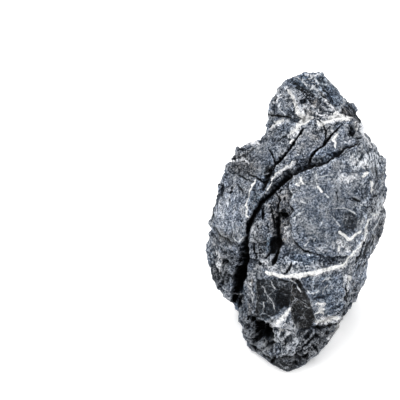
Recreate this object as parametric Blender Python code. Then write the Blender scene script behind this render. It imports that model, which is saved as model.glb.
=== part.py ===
"""A seiryu stone for an aquascape, as one solid.

The stone is drawn in millimetres on a plane that leans back like its front face: across, up and out
of that plane. Named landmarks on it make a cage of flat facets round the stone's core. Every point of
a sphere is sent out from the core to the cage, which gives the facets, and is then raised or sunk to
make the ledges, lumps, crags, cracks and pits. A Decimate modifier collapses what is flat, and is
applied so that the bed can be pressed flat after it.
"""

import math

import bmesh
import bpy
import numpy as np

# Driving dimensions, in millimetres unless a name says otherwise
MM = 0.001
FRONT_LEAN = math.radians(35)
CORE = np.array([0.0, 2.0, 88.0])
TRIANGLES = 9400
SPHERE_LEVELS = 7
FRONT_CROWDING = 0.28
EDGE_WEAR = 0.016
FACET_BEND = 0.03
BED_HEIGHT = 1.2
BED_FADE = 7
STONE_GREY = (0.150, 0.168, 0.190, 1.0)
STONE_ROUGHNESS = 0.72

# Landmarks round the outline that the front view shows: across, up, out
OUTLINE = {
    "crown": (2, 172, 84), "crown_right": (15, 170, 80), "cap_shoulder": (23, 163.5, 76),
    "cap_right": (31.5, 155, 70), "cap_right_low": (39.5, 146.5, 64), "nape": (43, 136, 60),
    "nape_low": (49, 126, 54), "right_shoulder": (59.5, 115, 45), "right_bulge": (61, 105, 40),
    "right_waist_top": (60, 85, 35), "right_waist": (59.5, 70, 33), "right_hip": (56, 59, 28),
    "right_notch": (48, 46, 20), "right_hip_low": (48, 36, 15), "right_heel_top": (46, 27, 5),
    "right_heel": (42, 20, -4), "right_foot": (36, 11, -10), "right_foot_front": (30, 1, 2),
    "right_toe": (22, -12, 20), "right_toe_front": (13, -20, 33), "toe_right": (4, -27, 41),
    "toe": (-8, -32.5, 45), "toe_left": (-19, -26, 41), "left_toe_front": (-31, -17, 31),
    "left_toe": (-36, -9, 22), "left_foot": (-39, 1, 14), "left_ankle": (-40, 9, 8),
    "gap_back": (-39, 18, 2), "gap": (-38, 20, 26), "gap_front": (-35, 23, 50),
    "thumb_foot_back": (-47, 22, -2), "thumb_foot": (-51, 20, 14), "thumb_foot_front": (-46, 22, 42),
    "thumb_heel": (-58.5, 31, 22), "thumb_side_low": (-62, 48, 32), "thumb_side": (-61.5, 58, 35),
    "thumb_side_top": (-58.5, 76, 42), "thumb_knuckle": (-56, 87, 47), "thumb_shoulder": (-51.5, 99, 51),
    "left_arm": (-46, 110, 54), "left_arm_top": (-42, 119, 57), "left_saddle": (-35, 124, 61),
    "saddle_back": (-25, 121, 50), "saddle": (-23, 126, 66), "neck_back": (-14, 131, 52),
    "neck": (-19.5, 132, 70), "cap_left_low": (-22, 144, 68), "cap_left": (-21.5, 151, 68),
    "cap_left_top": (-15.5, 160.5, 71), "crown_left": (-5, 168.5, 78),
}

# Landmarks on the front, inside the outline: across, up, out
FRONT = {
    "brow_left": (-5, 156, 90), "brow": (9, 163, 89), "brow_right": (18, 152, 91),
    "cap_mid": (2, 146, 95), "cheek_left": (-14, 147, 84), "cheek_right": (29, 148, 85),
    "cheek_far": (37, 139, 76),
    "ledge_left": (-12, 134, 88), "ledge_mid": (4, 137, 97), "ledge_right": (17, 137, 98),
    "ledge_end": (32, 139, 92),
    "slab_one_top": (3, 129, 99), "slab_one_low": (-8, 110, 100), "slab_two_top": (26, 130, 98),
    "slab_two_low": (12, 115, 102), "slab_end": (39, 126, 92),
    "arm_top": (-15, 121, 91), "arm_mid": (-25, 110, 86), "arm_low": (-21, 95, 94),
    "thumb_ridge_top": (-31, 98, 92), "thumb_ridge": (-34, 82, 94), "thumb_ridge_low": (-37, 62, 88),
    "thumb_face": (-46, 75, 73), "thumb_face_top": (-45, 92, 69), "thumb_face_low": (-48, 55, 60),
    "thumb_calf": (-50, 40, 46), "thumb_shin": (-42, 44, 60),
    "face_top_left": (-5, 102, 105), "face_top": (15, 109, 107), "face_top_right": (36, 116, 99),
    "face_right": (49, 106, 84), "face_edge_top": (50, 95, 85), "face_edge": (45, 77, 92),
    "face_edge_low": (40, 57, 94), "face_left": (-5, 82, 105), "face_low_left": (-3, 60, 102),
    "face_mid": (17, 82, 108), "face_low": (17, 51, 101),
    "strip_top": (-18, 90, 96), "strip_mid": (-25, 75, 91), "strip_low": (-30, 55, 86),
    "strip_foot": (-32, 40, 79), "hollow_top": (-11, 76, 94), "hollow_mid": (-13, 58, 90),
    "shelf_left": (-8, 46, 92), "shelf_right": (14, 46, 96),
    "vein_left": (-24, 37, 87), "vein_mid": (-7, 35, 96), "vein_right": (13, 38, 98),
    "vein_end": (31, 42, 92),
    "dark_facet_top": (-33, 27, 68), "dark_facet_low": (-32, 13, 55), "dark_facet_foot": (-25, 4, 58),
    "wedge_top": (-4, 30, 91), "wedge_left": (-6, 16, 78), "wedge_foot": (1, 0, 66),
    "wedge_right": (12, 7, 70), "wedge_ridge": (6, 18, 85),
    "plate_mid": (21, 19, 80), "plate_edge": (32, 26, 76),
    "plate_foot": (27, 8, 60), "chunk_left": (-18, -8, 66), "chunk_front": (-3, -14, 69),
    "chunk_right": (12, -9, 65), "rim_right": (21, -1, 50),
    "flank_top": (54, 95, 60), "flank_mid": (51, 68, 64), "flank_low": (45, 45, 56),
    "flank_foot": (38, 25, 38),
}

# Landmarks on the back, all behind the outline: across, up, out
BACK = {
    "crown_back": (4, 155, 47), "back_top_left": (-10, 130, 40), "back_top_right": (28, 125, 30),
    "back_left_high": (-34, 98, 22), "back_high": (0, 112, 18), "back_right_high": (44, 92, 12),
    "back_ridge": (12, 88, -8), "back_left_mid": (-46, 66, 4), "back_mid": (-18, 72, -10),
    "back_right_mid": (42, 60, -6), "back_low": (4, 50, -32), "back_left_low": (-40, 40, -18),
    "back_right_low": (34, 38, -24), "heel_left": (-34, 25, -27), "heel_mid": (-4, 32, -36),
    "heel_right": (30, 26, -28),
}

# Landmarks of the flat bed that the stone stands on: x, y
BED = {
    "bed_toe": (-7, -51), "bed_right_front": (12, -33), "bed_right": (28, 0),
    "bed_right_back": (33, 19), "bed_back_right": (27, 36), "bed_back": (-4, 44),
    "bed_back_left": (-32, 32), "bed_left": (-38, 13), "bed_left_front": (-35, -14),
    "bed_toe_left": (-20, -42), "bed_middle": (0, 0), "bed_middle_left": (-18, 10),
    "bed_middle_right": (14, 14),
}

# Cracks as points on the front: across, up, half width on the left and on the right, depth
CRACKS = {
    "main": [
        (39, 122, 0.8, 1.2, 1.5), (31, 119.5, 0.8, 2.7, 2.5), (24.5, 114.5, 0.8, 4.6, 4.5),
        (18, 109.5, 0.9, 5.6, 6), (10.5, 108, 0.9, 6.4, 7), (3, 105, 1.0, 6.6, 8),
        (-5, 102, 1.1, 6.6, 9), (-12, 96, 1.1, 6, 10), (-18.5, 89, 1.2, 4.6, 11),
        (-25, 82, 1.2, 3.8, 11), (-29.5, 75.5, 1.3, 3.5, 12), (-34, 66, 1.5, 3, 13),
        (-36.5, 56, 2.6, 3.2, 17), (-38, 46, 4, 3.8, 22), (-39.5, 36, 4.8, 4, 26),
        (-41, 25, 4.8, 3.8, 24), (-43, 18, 3.4, 3, 16),
    ],
    "upper": [
        (3, 133, 0.6, 0.7, 2), (0.5, 129, 0.6, 0.9, 4), (-4, 123, 0.8, 1.1, 5.5),
        (-8.5, 117, 0.8, 1.3, 6), (-12.5, 113, 0.9, 1.6, 6.5), (-16, 108.5, 1, 2.4, 7),
        (-19.5, 102.5, 1.1, 3.4, 7), (-22, 97, 1.1, 2.9, 6), (-24, 92, 0.9, 1.4, 3),
    ],
    "right": [
        (27, 134, 0.5, 0.6, 1.5), (23, 130.5, 0.7, 0.8, 3.5), (18.5, 125, 0.8, 0.9, 5),
        (15, 121, 0.8, 0.9, 5.5), (11, 118, 0.8, 0.9, 5.5), (8, 113.5, 0.8, 0.9, 5.5),
        (5.5, 107, 0.8, 0.9, 6),
    ],
    "right_branch": [
        (16, 134.5, 0.5, 0.6, 2), (17.5, 131, 0.6, 0.7, 3.5), (17.5, 127, 0.6, 0.7, 4),
        (15.5, 122.5, 0.7, 0.7, 4.5),
    ],
    "left_branch": [
        (-20.5, 119.5, 0.5, 0.5, 1.5), (-18.5, 116, 0.6, 0.7, 3.5), (-17.5, 112.5, 0.7, 0.8, 4.5),
        (-16, 109, 0.8, 0.8, 5),
    ],
    "thumb_upper": [
        (-34, 102.5, 0.5, 0.5, 1), (-30, 101.5, 0.6, 0.7, 2.5), (-27, 99.5, 0.6, 0.7, 3),
        (-24, 97, 0.7, 0.8, 3.5), (-22.5, 93.5, 0.7, 0.8, 3.5),
    ],
    "thumb_lower": [
        (-41.5, 102.5, 0.5, 0.5, 1), (-37.5, 100, 0.6, 0.5, 1.8), (-34, 99, 0.6, 0.5, 1.8),
        (-31, 98, 0.5, 0.5, 1),
    ],
    "face_foot": [
        (-4, 59, 0.6, 0.6, 1.2), (-2, 55.5, 0.7, 0.9, 3), (1.5, 52.5, 0.8, 1.2, 4),
        (6.5, 50.5, 0.8, 1.4, 4.5), (12.5, 49.5, 0.7, 1.4, 4), (18, 48, 0.6, 0.7, 1.5),
    ],
    "hollow": [
        (-13.5, 77, 1.6, 1.6, 3), (-15, 70, 2.6, 2.2, 7), (-14.5, 62, 2.8, 2.6, 9),
        (-14, 53.5, 2.6, 2.8, 10), (-16, 46, 2.2, 2.2, 8), (-18, 41.5, 1.2, 1.2, 2.5),
    ],
    "hollow_branch": [
        (-22.5, 46.5, 0.7, 0.7, 2.5), (-20, 49, 0.9, 0.9, 4.5), (-16.5, 51, 0.9, 0.9, 5),
    ],
    "vein_notch": [
        (-5.5, 43, 0.5, 0.5, 2), (-7, 39.5, 0.8, 0.8, 4), (-9, 36.5, 1.2, 0.8, 3.5),
        (-11, 36, 0.6, 0.6, 1.5),
    ],
    "flank_upper": [
        (44, 62, 0.5, 0.5, 1.2), (41, 54.5, 0.6, 0.7, 2.5), (38.5, 48, 0.6, 0.7, 2.5),
        (37, 42.5, 0.5, 0.5, 1.2),
    ],
    "flank_lower": [
        (32, 33, 0.5, 0.5, 1.2), (30.5, 27, 0.7, 0.7, 3), (31.5, 21, 0.7, 0.7, 3),
        (30, 12.5, 0.6, 0.6, 2.5), (27, 5, 0.5, 0.6, 1.5),
    ],
    "cap": [
        (-2, 161, 0.5, 0.5, 1.5), (1.5, 158, 0.6, 0.7, 3), (4.5, 155.5, 0.6, 0.8, 3),
        (8.5, 153, 0.5, 0.6, 1.5),
    ],
    "cap_knob": [(-19.5, 142.5, 0.6, 0.8, 2.5), (-13, 141.5, 0.6, 0.8, 2.5), (-6, 141, 0.5, 0.5, 1.2)],
    "chunk_right": [
        (-3, -19, 0.6, 0.8, 2), (3, -14, 0.9, 1, 3.5), (8.5, -8.8, 0.9, 0.9, 3.5), (13, -5, 0.6, 0.6, 2),
    ],
    "toe_left": [
        (-30, -13, 0.7, 0.7, 2.5), (-24, -17, 0.9, 0.9, 3.5), (-17, -22, 0.9, 0.9, 3),
        (-12, -27, 0.6, 0.6, 2),
    ],
    "plate_under": [
        (8, 0, 0.5, 0.6, 1.5), (15, -1.5, 0.7, 0.9, 3), (22, 0.5, 0.7, 0.9, 3), (27, 4, 0.5, 0.6, 1.5),
    ],
    "strip_slit": [(-23, 81.5, 0.5, 0.5, 1.5), (-24, 77.5, 0.8, 0.8, 3.5), (-25, 72.5, 0.7, 0.7, 2)],
}

# Pits: across, up, half length, half width, turn from upright in degrees, depth
PITS = {
    "foot_pit": (-24, -4, 8, 4.2, -25, 13), "face_pit": (-10.5, 76, 3.8, 3, 0, 5),
    "thumb_pit": (-45, 92, 2.4, 1.2, 0, 3), "nape_pit": (35.5, 131.5, 5.4, 2.6, 35, 6),
    "dark_facet_dent": (-10, 19.5, 8, 6, 0, 3.5), "chunk_pit": (5, -7.5, 2.2, 1.8, 0, 3),
    "crown_pit": (-17, 153, 3, 1.6, 60, 3), "flank_hole": (50, 57, 5, 2, 20, 3.5),
    "thumb_hole": (-47, 33, 3, 1.8, 30, 3),
}

# Lumps: across, up, radius, height
LUMPS = {
    "chunk": (-2.5, -11, 12, 3.5), "toe_lump": (-9, -25, 7, 2.5), "thumb_swell": (-43, 79, 10, 2),
    "left_knob": (-33, -4, 4.5, 3), "left_knob_high": (-35, 5, 4, 2.5), "foot_lump": (-22.5, -17, 6, 3),
    "strip_swell": (-27, 65.5, 7.5, 2), "cap_swell": (1.5, 149, 9.5, 1.5),
}

# Ledges as points on the front; then rise and fade width on the left, drop and fade width on the right
LEDGES = {
    "face_edge": (
        [(-5, 100.5), (-7.5, 94), (-5, 88.5), (-7, 83), (-3.5, 79), (-6.5, 73), (-4.5, 68), (-5.5, 63),
         (-2.5, 57), (1, 53.5), (6, 50.5), (13, 49.5), (18.5, 48), (25, 48)], 1.8, 22, 1.8, 6),
    "brow_edge": (
        [(-16, 135.5), (-8, 139.5), (0.5, 135.5), (7, 138), (18, 137), (24.5, 139.5), (33.5, 140)],
        -1.4, 8, -1.4, 7),
    "cap_edge": ([(30, 143), (21, 148), (14, 155), (4, 157), (-3, 162)], 0.8, 6, 1.2, 6),
    "flank_edge": (
        [(33, 20), (38, 38), (42, 50), (46, 65), (48, 80), (49, 100), (44, 118)], 1.0, 6, 1.6, 5),
    "chunk_edge": ([(-20, 0), (-10, -1), (1, -2), (12, 1), (20, 6)], 0.6, 6, 2.4, 8),
}

# Patches of crags on the front: across, up, radius, strength
CRAGS = {
    "cap": (9.5, 151.5, 20, 1.0), "beside_face": (-11, 70.5, 9.5, 0.8), "strip": (-27, 54.5, 11, 0.8),
    "thumb_low": (-52, 38.5, 13.5, 1.0), "foot_left": (-29.5, -6.5, 16, 1.3), "chunk": (-2.5, -13, 17, 1.0),
    "rim": (20.5, -10.5, 16, 0.9), "right_waist": (53, 81.5, 12, 0.7), "nape": (37, 130, 7, 0.8),
    "left_arm": (-39, 111, 12, 0.7),
}


def to_frame(points):
    """From across, up and out of the leaning front to x, y and z: a turn about the x axis."""
    across, up, out = np.asarray(points, float).T
    lean, rise = math.sin(FRONT_LEAN), math.cos(FRONT_LEAN)
    return np.stack([across, up * lean - out * rise, up * rise + out * lean], 1)


def to_front(points):
    """The turn of to_frame, undone."""
    x, y, z = points.T
    lean, rise = math.sin(FRONT_LEAN), math.cos(FRONT_LEAN)
    return np.stack([x, y * lean + z * rise, z * lean - y * rise], 1)


def unit(vectors):
    return vectors / np.linalg.norm(vectors, axis=-1, keepdims=True)


def smooth(low, high, value):
    """0 below low, 1 above high, and an S-shaped rise between them."""
    t = np.clip((value - low) / (high - low), 0, 1)
    return t * t * (3 - 2 * t)


def hashed(cell, seed):
    """A mixed whole number for each cell of a lattice."""
    x, y, z = (cell[..., axis].astype(np.uint32) for axis in range(3))
    mixed = x * np.uint32(374761393) + y * np.uint32(668265263) + z * np.uint32(1133479743)
    mixed = mixed + np.uint32(seed * 2971215073 & 0xFFFFFFFF)
    mixed = (mixed ^ (mixed >> np.uint32(13))) * np.uint32(1274126177)
    mixed = (mixed ^ (mixed >> np.uint32(16))) * np.uint32(2246822519)
    return mixed ^ (mixed >> np.uint32(15))


def noise(points, seed):
    """Gradient noise of about -1 to 1: the slopes held at a lattice's corners, blended smoothly."""
    cell = np.floor(points)
    inside = points - cell
    cell = cell.astype(np.int64)
    ease = inside**3 * (inside * (inside * 6 - 15) + 10)
    total = np.zeros(len(points))
    for corner in np.ndindex(2, 2, 2):
        mixed = hashed(cell + corner, seed)
        slope = np.stack([(mixed >> shift & 255) / 127.5 - 1 for shift in (0, 8, 16)], 1)
        weight = np.prod(np.where(corner, ease, 1 - ease), axis=1)
        total += weight * np.einsum("ij,ij->i", slope, inside - corner)
    return total * 1.2


def fractal(points, octaves, seed):
    """Octaves of noise, each half as large and about half as high as the last."""
    return sum(0.5**step * noise(points * 2.03**step, seed + step) for step in range(octaves))


def ridged(points, octaves, seed):
    """As fractal, but folded at zero, so that it has sharp crests."""
    return sum(
        0.55**step * (1 - 2.4 * np.abs(noise(points * 2.03**step, seed + step))) for step in range(octaves)
    )


def chips(points, seed):
    """Small tilted flats: a random spot in each cell of a lattice carries a plane of random slope.

    Each point takes the plane of its nearest spot, so that the flats meet in sharp little steps.
    """
    cell = np.floor(points)
    inside = points - cell
    cell = cell.astype(np.int64)
    nearest, height = np.full(len(points), 9.0), np.zeros(len(points))
    for step in np.ndindex(3, 3, 3):
        offset = np.array(step) - 1
        mixed = hashed(cell + offset, seed)
        spot = np.stack([(mixed >> shift & 1023) / 1023 for shift in (0, 10, 20)], 1)
        slope = np.stack([(mixed >> shift & 255) / 127.5 - 1 for shift in (4, 12, 21)], 1)
        apart = inside - offset - spot
        distance = np.linalg.norm(apart, axis=1)
        height = np.where(distance < nearest, (apart * slope).sum(1), height)
        nearest = np.minimum(nearest, distance)
    return height


def cage():
    """Facets between the landmarks, as they are seen from the core.

    The convex hull of the landmarks' directions says which three span each facet. Each facet is kept
    as the inverse of its corners, which turns a direction into its share of each corner.
    """
    drawn = to_frame([*OUTLINE.values(), *FRONT.values(), *BACK.values()])
    drawn[:, 2] = np.maximum(drawn[:, 2], 0)
    bed = [(x, y, 0) for x, y in BED.values()]
    corners = np.vstack([drawn, bed]) - CORE
    hull = bmesh.new()
    for direction in unit(corners):
        hull.verts.new(direction)
    hull.verts.index_update()
    bmesh.ops.convex_hull(hull, input=hull.verts)
    bmesh.ops.triangulate(hull, faces=hull.faces)
    facets = np.array([[vertex.index for vertex in face.verts] for face in hull.faces])
    hull.free()
    return np.linalg.inv(np.swapaxes(corners[facets], 1, 2))


def reach(directions, facets):
    """How far out the cage lies in each direction: one over the sum of its facet's shares."""
    distance = np.empty(len(directions))
    flat = facets.reshape(-1, 3).T.astype(np.float32)
    batch = 8192
    for start in range(0, len(directions), batch):
        some = directions[start:start + batch].astype(np.float32)
        shares = (some @ flat).reshape(len(some), -1, 3)
        own = shares.min(axis=2).argmax(axis=1)
        distance[start:start + batch] = 1 / shares[np.arange(len(some)), own].sum(1)
    return distance


def body(directions):
    """The cage's reach in each direction, averaged over a small ring round it, which wears the edges.

    The directions are bent a little by noise first, so that the facets' edges aren't ruled lines.
    """
    facets = cage()
    bend = np.stack([fractal(directions * 3.1, 3, seed) for seed in (11, 23, 37)], 1)
    bent = unit(directions + FACET_BEND * bend)
    side = unit(np.cross(bent, (0.3, 0.5, 0.8)))
    other = np.cross(bent, side)
    ring = [(math.cos(turn), math.sin(turn)) for turn in np.linspace(0, math.tau, 5)[:-1]]
    distance = 2 * reach(bent, facets)
    for right, up in ring:
        distance += reach(unit(bent + EDGE_WEAR * (right * side + up * other)), facets)
    return CORE + (distance / (2 + len(ring)))[:, None] * directions


def outward(points, triangles):
    """Each vertex's normal: the sum of the area vectors of its triangles, made a unit long."""
    first, second, third = (points[triangles[:, corner]] for corner in range(3))
    area = np.cross(second - first, third - first)
    total = np.zeros_like(points)
    for corner in range(3):
        for axis in range(3):
            total[:, axis] += np.bincount(triangles[:, corner], area[:, axis], len(points))
    return unit(total)


def along(places, line):
    """For each place, its distance from a broken line, the side it is on, and the line's values there."""
    line = np.asarray(line, float)
    start, run = line[:-1, :2], np.diff(line[:, :2], axis=0)
    offset = places[:, None] - start
    part = np.clip((offset * run).sum(2) / (run**2).sum(1), 0, 1)
    apart = offset - part[..., None] * run
    distance = np.hypot(apart[..., 0], apart[..., 1])
    own = distance.argmin(1)
    every = np.arange(len(places))
    part, distance = part[every, own, None], distance[every, own]
    left = run[own, 0] * offset[every, own, 1] > run[own, 1] * offset[every, own, 0]
    values = line[own, 2:] * (1 - part) + line[own + 1, 2:] * part
    return distance, left, values


def raised(places):
    """Height of the lumps, which are bell-shaped, and of the ledges, which step at a line and fade."""
    height = np.zeros(len(places))
    for across, up, radius, rise in LUMPS.values():
        height += rise * np.exp(-1.2 * ((places - (across, up)) ** 2).sum(1) / radius**2)
    for line, rise, rise_fade, drop, drop_fade in LEDGES.values():
        distance, left, _ = along(places, line)
        step = np.clip(distance / 0.8, 0, 1)
        height += step * np.where(left, rise * np.exp(-distance / rise_fade), -drop * np.exp(-distance / drop_fade))
    return height


def sunk(places, ragged):
    """Depth of the cracks, deepest on their line, and of the pits, which are bowls with steep walls.

    The ragged factor widens and narrows the cracks along their run.
    """
    narrowest = 1.1
    depth = np.zeros(len(places))
    for line in CRACKS.values():
        distance, left, values = along(places, line)
        width = np.where(left, values[:, 0], values[:, 1]) * ragged
        wall = np.clip(1 - distance / np.maximum(width, narrowest), 0, 1)
        depth = np.maximum(depth, values[:, 2] * ragged * wall**1.3)
    for across, up, half_length, half_width, turn, bottom in PITS.values():
        lean, rise = math.sin(math.radians(turn)), math.cos(math.radians(turn))
        right, over = (places - (across, up)).T
        long = (right * lean + over * rise) / half_length
        wide = (right * rise - over * lean) / half_width
        depth = np.maximum(depth, bottom * np.clip(1.25 * (1 - long**2 - wide**2), 0, 1) ** 0.8)
    return depth


def craggy(places, facing):
    """How rough the stone is: the patches of crags, and all of the back."""
    strength = np.full(len(places), 0.3)
    for across, up, radius, most in CRAGS.values():
        apart = ((places - (across, up)) ** 2).sum(1) / radius**2
        strength = np.maximum(strength, most * np.exp(-apart**1.5) * facing)
    return np.maximum(strength, 0.6 * (1 - facing))


def stone_points(directions, triangles):
    """The stone's surface in millimetres: the worn cage, raised, roughened, sunk and bedded flat."""
    points = body(directions)
    normal = outward(points, triangles)
    facing = smooth(0, 0.3, to_front(normal)[:, 2])
    drift = np.stack([fractal(points / 7, 3, seed) for seed in (71, 81)], 1)
    drawn = to_front(points)[:, :2]
    loose, close = drawn + 1.2 * drift, drawn + 0.55 * drift
    strength = craggy(loose, facing)
    swell = 2.2 * (0.4 + strength) * fractal(points / 22, 2, 5)
    crags = 1.7 * (ridged(points / 10, 3, 41) - 0.8) + 3.2 * chips(points / 10 + 0.25 * drift[:, :1], 3)
    small = 1.8 * chips(points / 4.5 + 0.25 * drift[:, 1:], 13) + 0.3 * (ridged(points / 2.6, 2, 51) - 0.8)
    height = raised(close) * facing + swell + strength * (crags + small * facing)
    height *= smooth(BED_HEIGHT, BED_FADE, points[:, 2])
    inward = unit(0.3 * normal + 0.7 * to_frame([(0, 0, 1)]))
    ragged = 1 + 0.35 * fractal(points / 6, 2, 91)
    depth = sunk(close, ragged) * facing
    points = points + height[:, None] * normal - depth[:, None] * inward
    points[:, 2] = np.where(points[:, 2] < BED_HEIGHT, 0, points[:, 2])
    middle = (points.min(0) + points.max(0)) / 2
    return points - (middle[0], middle[1], points[:, 2].min())


def sphere():
    """An icosphere's directions, crowded towards the front, where the detail is, and its triangles."""
    ball = bmesh.new()
    bmesh.ops.create_icosphere(ball, subdivisions=SPHERE_LEVELS, radius=1)
    directions = np.array([vertex.co[:] for vertex in ball.verts])
    triangles = np.array([[vertex.index for vertex in face.verts] for face in ball.faces])
    ball.free()
    front = unit(to_frame([(0, 0, 1)]))
    return unit(directions + FRONT_CROWDING * front), triangles


def stone_grey():
    material = bpy.data.materials.new("stone_grey")
    material.use_nodes = True
    shader = material.node_tree.nodes["Principled BSDF"]
    shader.inputs["Base Color"].default_value = STONE_GREY
    shader.inputs["Roughness"].default_value = STONE_ROUGHNESS
    return material


def collapse_flats(stone, faces):
    """Collapse what is flat down to the number of triangles wanted, and press the bed flat again."""
    collapse = stone.modifiers.new("collapse_flats", "DECIMATE")
    collapse.ratio = TRIANGLES / faces
    collapse.use_collapse_triangulate = True
    evaluated = stone.evaluated_get(bpy.context.evaluated_depsgraph_get())
    stone.data = bpy.data.meshes.new_from_object(evaluated)
    stone.modifiers.clear()
    for vertex in stone.data.vertices:
        if vertex.co.z < BED_HEIGHT / 2 * MM:
            vertex.co.z = 0


def make_stone():
    directions, triangles = sphere()
    points = stone_points(directions, triangles)
    mesh = bpy.data.meshes.new("stone")
    mesh.from_pydata((points * MM).tolist(), [], triangles.tolist())
    mesh.shade_smooth()
    mesh.set_sharp_from_angle(angle=math.radians(35))
    mesh.materials.append(stone_grey())
    stone = bpy.data.objects.new("stone", mesh)
    bpy.context.scene.collection.objects.link(stone)
    collapse_flats(stone, len(triangles))


for old in list(bpy.data.objects):
    bpy.data.objects.remove(old)

make_stone()
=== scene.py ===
import math
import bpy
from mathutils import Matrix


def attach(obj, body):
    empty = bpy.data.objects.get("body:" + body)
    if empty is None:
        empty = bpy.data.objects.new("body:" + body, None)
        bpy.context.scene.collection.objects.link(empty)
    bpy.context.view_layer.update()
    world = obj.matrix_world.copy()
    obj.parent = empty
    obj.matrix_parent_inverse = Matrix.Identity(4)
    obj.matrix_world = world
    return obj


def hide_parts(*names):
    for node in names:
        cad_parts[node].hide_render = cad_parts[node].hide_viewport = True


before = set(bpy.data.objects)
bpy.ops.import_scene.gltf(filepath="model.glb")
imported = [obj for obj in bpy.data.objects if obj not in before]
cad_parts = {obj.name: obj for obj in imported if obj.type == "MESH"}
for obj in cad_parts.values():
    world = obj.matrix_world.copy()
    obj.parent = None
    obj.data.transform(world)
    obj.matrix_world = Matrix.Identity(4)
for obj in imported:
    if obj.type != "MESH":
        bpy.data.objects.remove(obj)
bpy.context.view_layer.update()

from types import SimpleNamespace

import bmesh
import bpy
import numpy as np
from mathutils import Vector

# A seiryu stone on a pale floor. The stone is drawn in millimetres on a plane that leans back like
# its front face: across, up and out of that plane, as the CAD solid is, and with finer relief.

# Driving dimensions in millimetres, each of which is MM metres. The lean is an angle, the grid is a
# count of faces along each edge of the cube that the stone grows from, and crowding, wear and bend
# are parts of a unit direction.
MM = 0.001
FRONT_LEAN = math.radians(35)
CORE = np.array([0.0, 2.0, 88.0])
GIRTH = np.array([60.0, 54.0, 94.0])
GRID = 128
FRONT_CROWDING = 0.28
EDGE_WEAR = 0.016
FACET_BEND = 0.03
BED_HEIGHT = 1.2
BED_FADE = 7

# Roughness: the size of each pattern, and the height or depth that its values are multiplied by
SWELL_SIZE, SWELL_HEIGHT = 22, 2.2
CRAG_SIZE, CRAG_HEIGHT, RIDGE_HEIGHT = 10, 3.8, 1.7
NARROW_SIZE, NARROW_HEIGHT = 4.5, 2.2
LITTLE_SIZE, LITTLE_HEIGHT = 2.9, 1.3
TINY_SIZE, TINY_HEIGHT = 2.1, 0.9
FURROW_SIZE, FURROW_HEIGHT = 2.6, 0.2
GRIT_SIZE, GRIT_HEIGHT = 1.5, 0.35
HOLE_SIZE, HOLE_DEPTH = 3.6, 1.6
RIFT_SIZE, RIFT_DEPTH = 9, 0.5
JOINT_DEPTH = 0.8

# Sizes of the noises that bend the drawn lines, widely and closely
DRIFT_SIZE = 7
JITTER_SIZE = 2.4

# Colours as red, green, blue and alpha; the tints are factors, and the stops are places on a ramp
ROCK_STOPS = [
    (0.14, (0.003, 0.005, 0.008, 1)), (0.35, (0.030, 0.038, 0.050, 1)), (0.49, (0.086, 0.102, 0.126, 1)),
    (0.62, (0.160, 0.182, 0.216, 1)), (0.82, (0.38, 0.41, 0.45, 1)),
]
WARM_TINT, COLD_TINT = (1.22, 1.02, 0.82, 1), (0.72, 0.98, 1.22, 1)
BLUISH_TINT, BROWNISH_TINT = (0.91, 0.94, 1.0, 1), (0.98, 0.93, 0.87, 1)
SHADOW_TINT, DAYLIGHT_TINT = (0.86, 0.98, 1.13, 1), (0.99, 0.99, 1.0, 1)
HAIRLINE = (0.33, 0.35, 0.38, 1)
# Pale scratches, and the painted highlight on the rims of the crisp edges
SCRATCH_AND_RIM_HIGHLIGHT = (0.36, 0.38, 0.41, 1)
HAZE = (0.50, 0.525, 0.56, 1)
SMEAR = (0.60, 0.61, 0.63, 1)
THREAD = (0.48, 0.50, 0.52, 1)
BACK_VEIN = (0.5, 0.5, 0.5, 1)
DULL_CHALK, CHALK = (0.42, 0.43, 0.45, 1), (0.74, 0.74, 0.73, 1)
FLOOR = (0.93, 0.93, 0.93, 1)
WHITE = (1, 1, 1, 1)

# The way that the streaks run down the flank: across, up, out
FLANK_RUN = (0.47, 0.87, -0.15)

# Landmarks round the outline that the front view shows: across, up, out
OUTLINE = {
    "crown": (2, 172, 84), "crown_right": (15, 170, 80), "cap_shoulder": (23, 163.5, 76),
    "cap_right": (31.5, 155, 70), "cap_right_low": (39.5, 146.5, 64), "nape": (43, 136, 60),
    "nape_low": (49, 126, 54), "right_shoulder": (59.5, 115, 45), "right_bulge": (61, 105, 40),
    "right_waist_top": (60, 85, 35), "right_waist": (59.5, 70, 33), "right_hip": (56, 59, 28),
    "right_notch": (48, 46, 20), "right_hip_low": (48, 36, 15), "right_heel_top": (46, 27, 5),
    "right_heel": (42, 20, -4), "right_foot": (36, 11, -10), "right_foot_front": (30, 1, 2),
    "right_toe": (22, -12, 20), "right_toe_front": (13, -20, 33), "toe_right": (4, -27, 41),
    "toe": (-8, -32.5, 45), "toe_left": (-19, -26, 41), "left_toe_front": (-31, -17, 31),
    "left_toe": (-36, -9, 22), "left_foot": (-39, 1, 14), "left_ankle": (-40, 9, 8),
    "gap_back": (-39, 18, 2), "gap": (-38, 20, 26), "gap_front": (-35, 23, 50),
    "thumb_foot_back": (-47, 22, -2), "thumb_foot": (-51, 20, 14), "thumb_foot_front": (-46, 22, 42),
    "thumb_heel": (-58.5, 31, 22), "thumb_side_low": (-62, 48, 32), "thumb_side": (-61.5, 58, 35),
    "thumb_side_top": (-58.5, 76, 42), "thumb_knuckle": (-56, 87, 47), "thumb_shoulder": (-51.5, 99, 51),
    "left_arm": (-46, 110, 54), "left_arm_top": (-42, 119, 57), "left_saddle": (-35, 124, 61),
    "saddle_back": (-25, 121, 50), "saddle": (-23, 126, 66), "neck_back": (-14, 131, 52),
    "neck": (-19.5, 132, 70), "cap_left_low": (-22, 144, 68), "cap_left": (-21.5, 151, 68),
    "cap_left_top": (-15.5, 160.5, 71), "crown_left": (-5, 168.5, 78),
}

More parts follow.
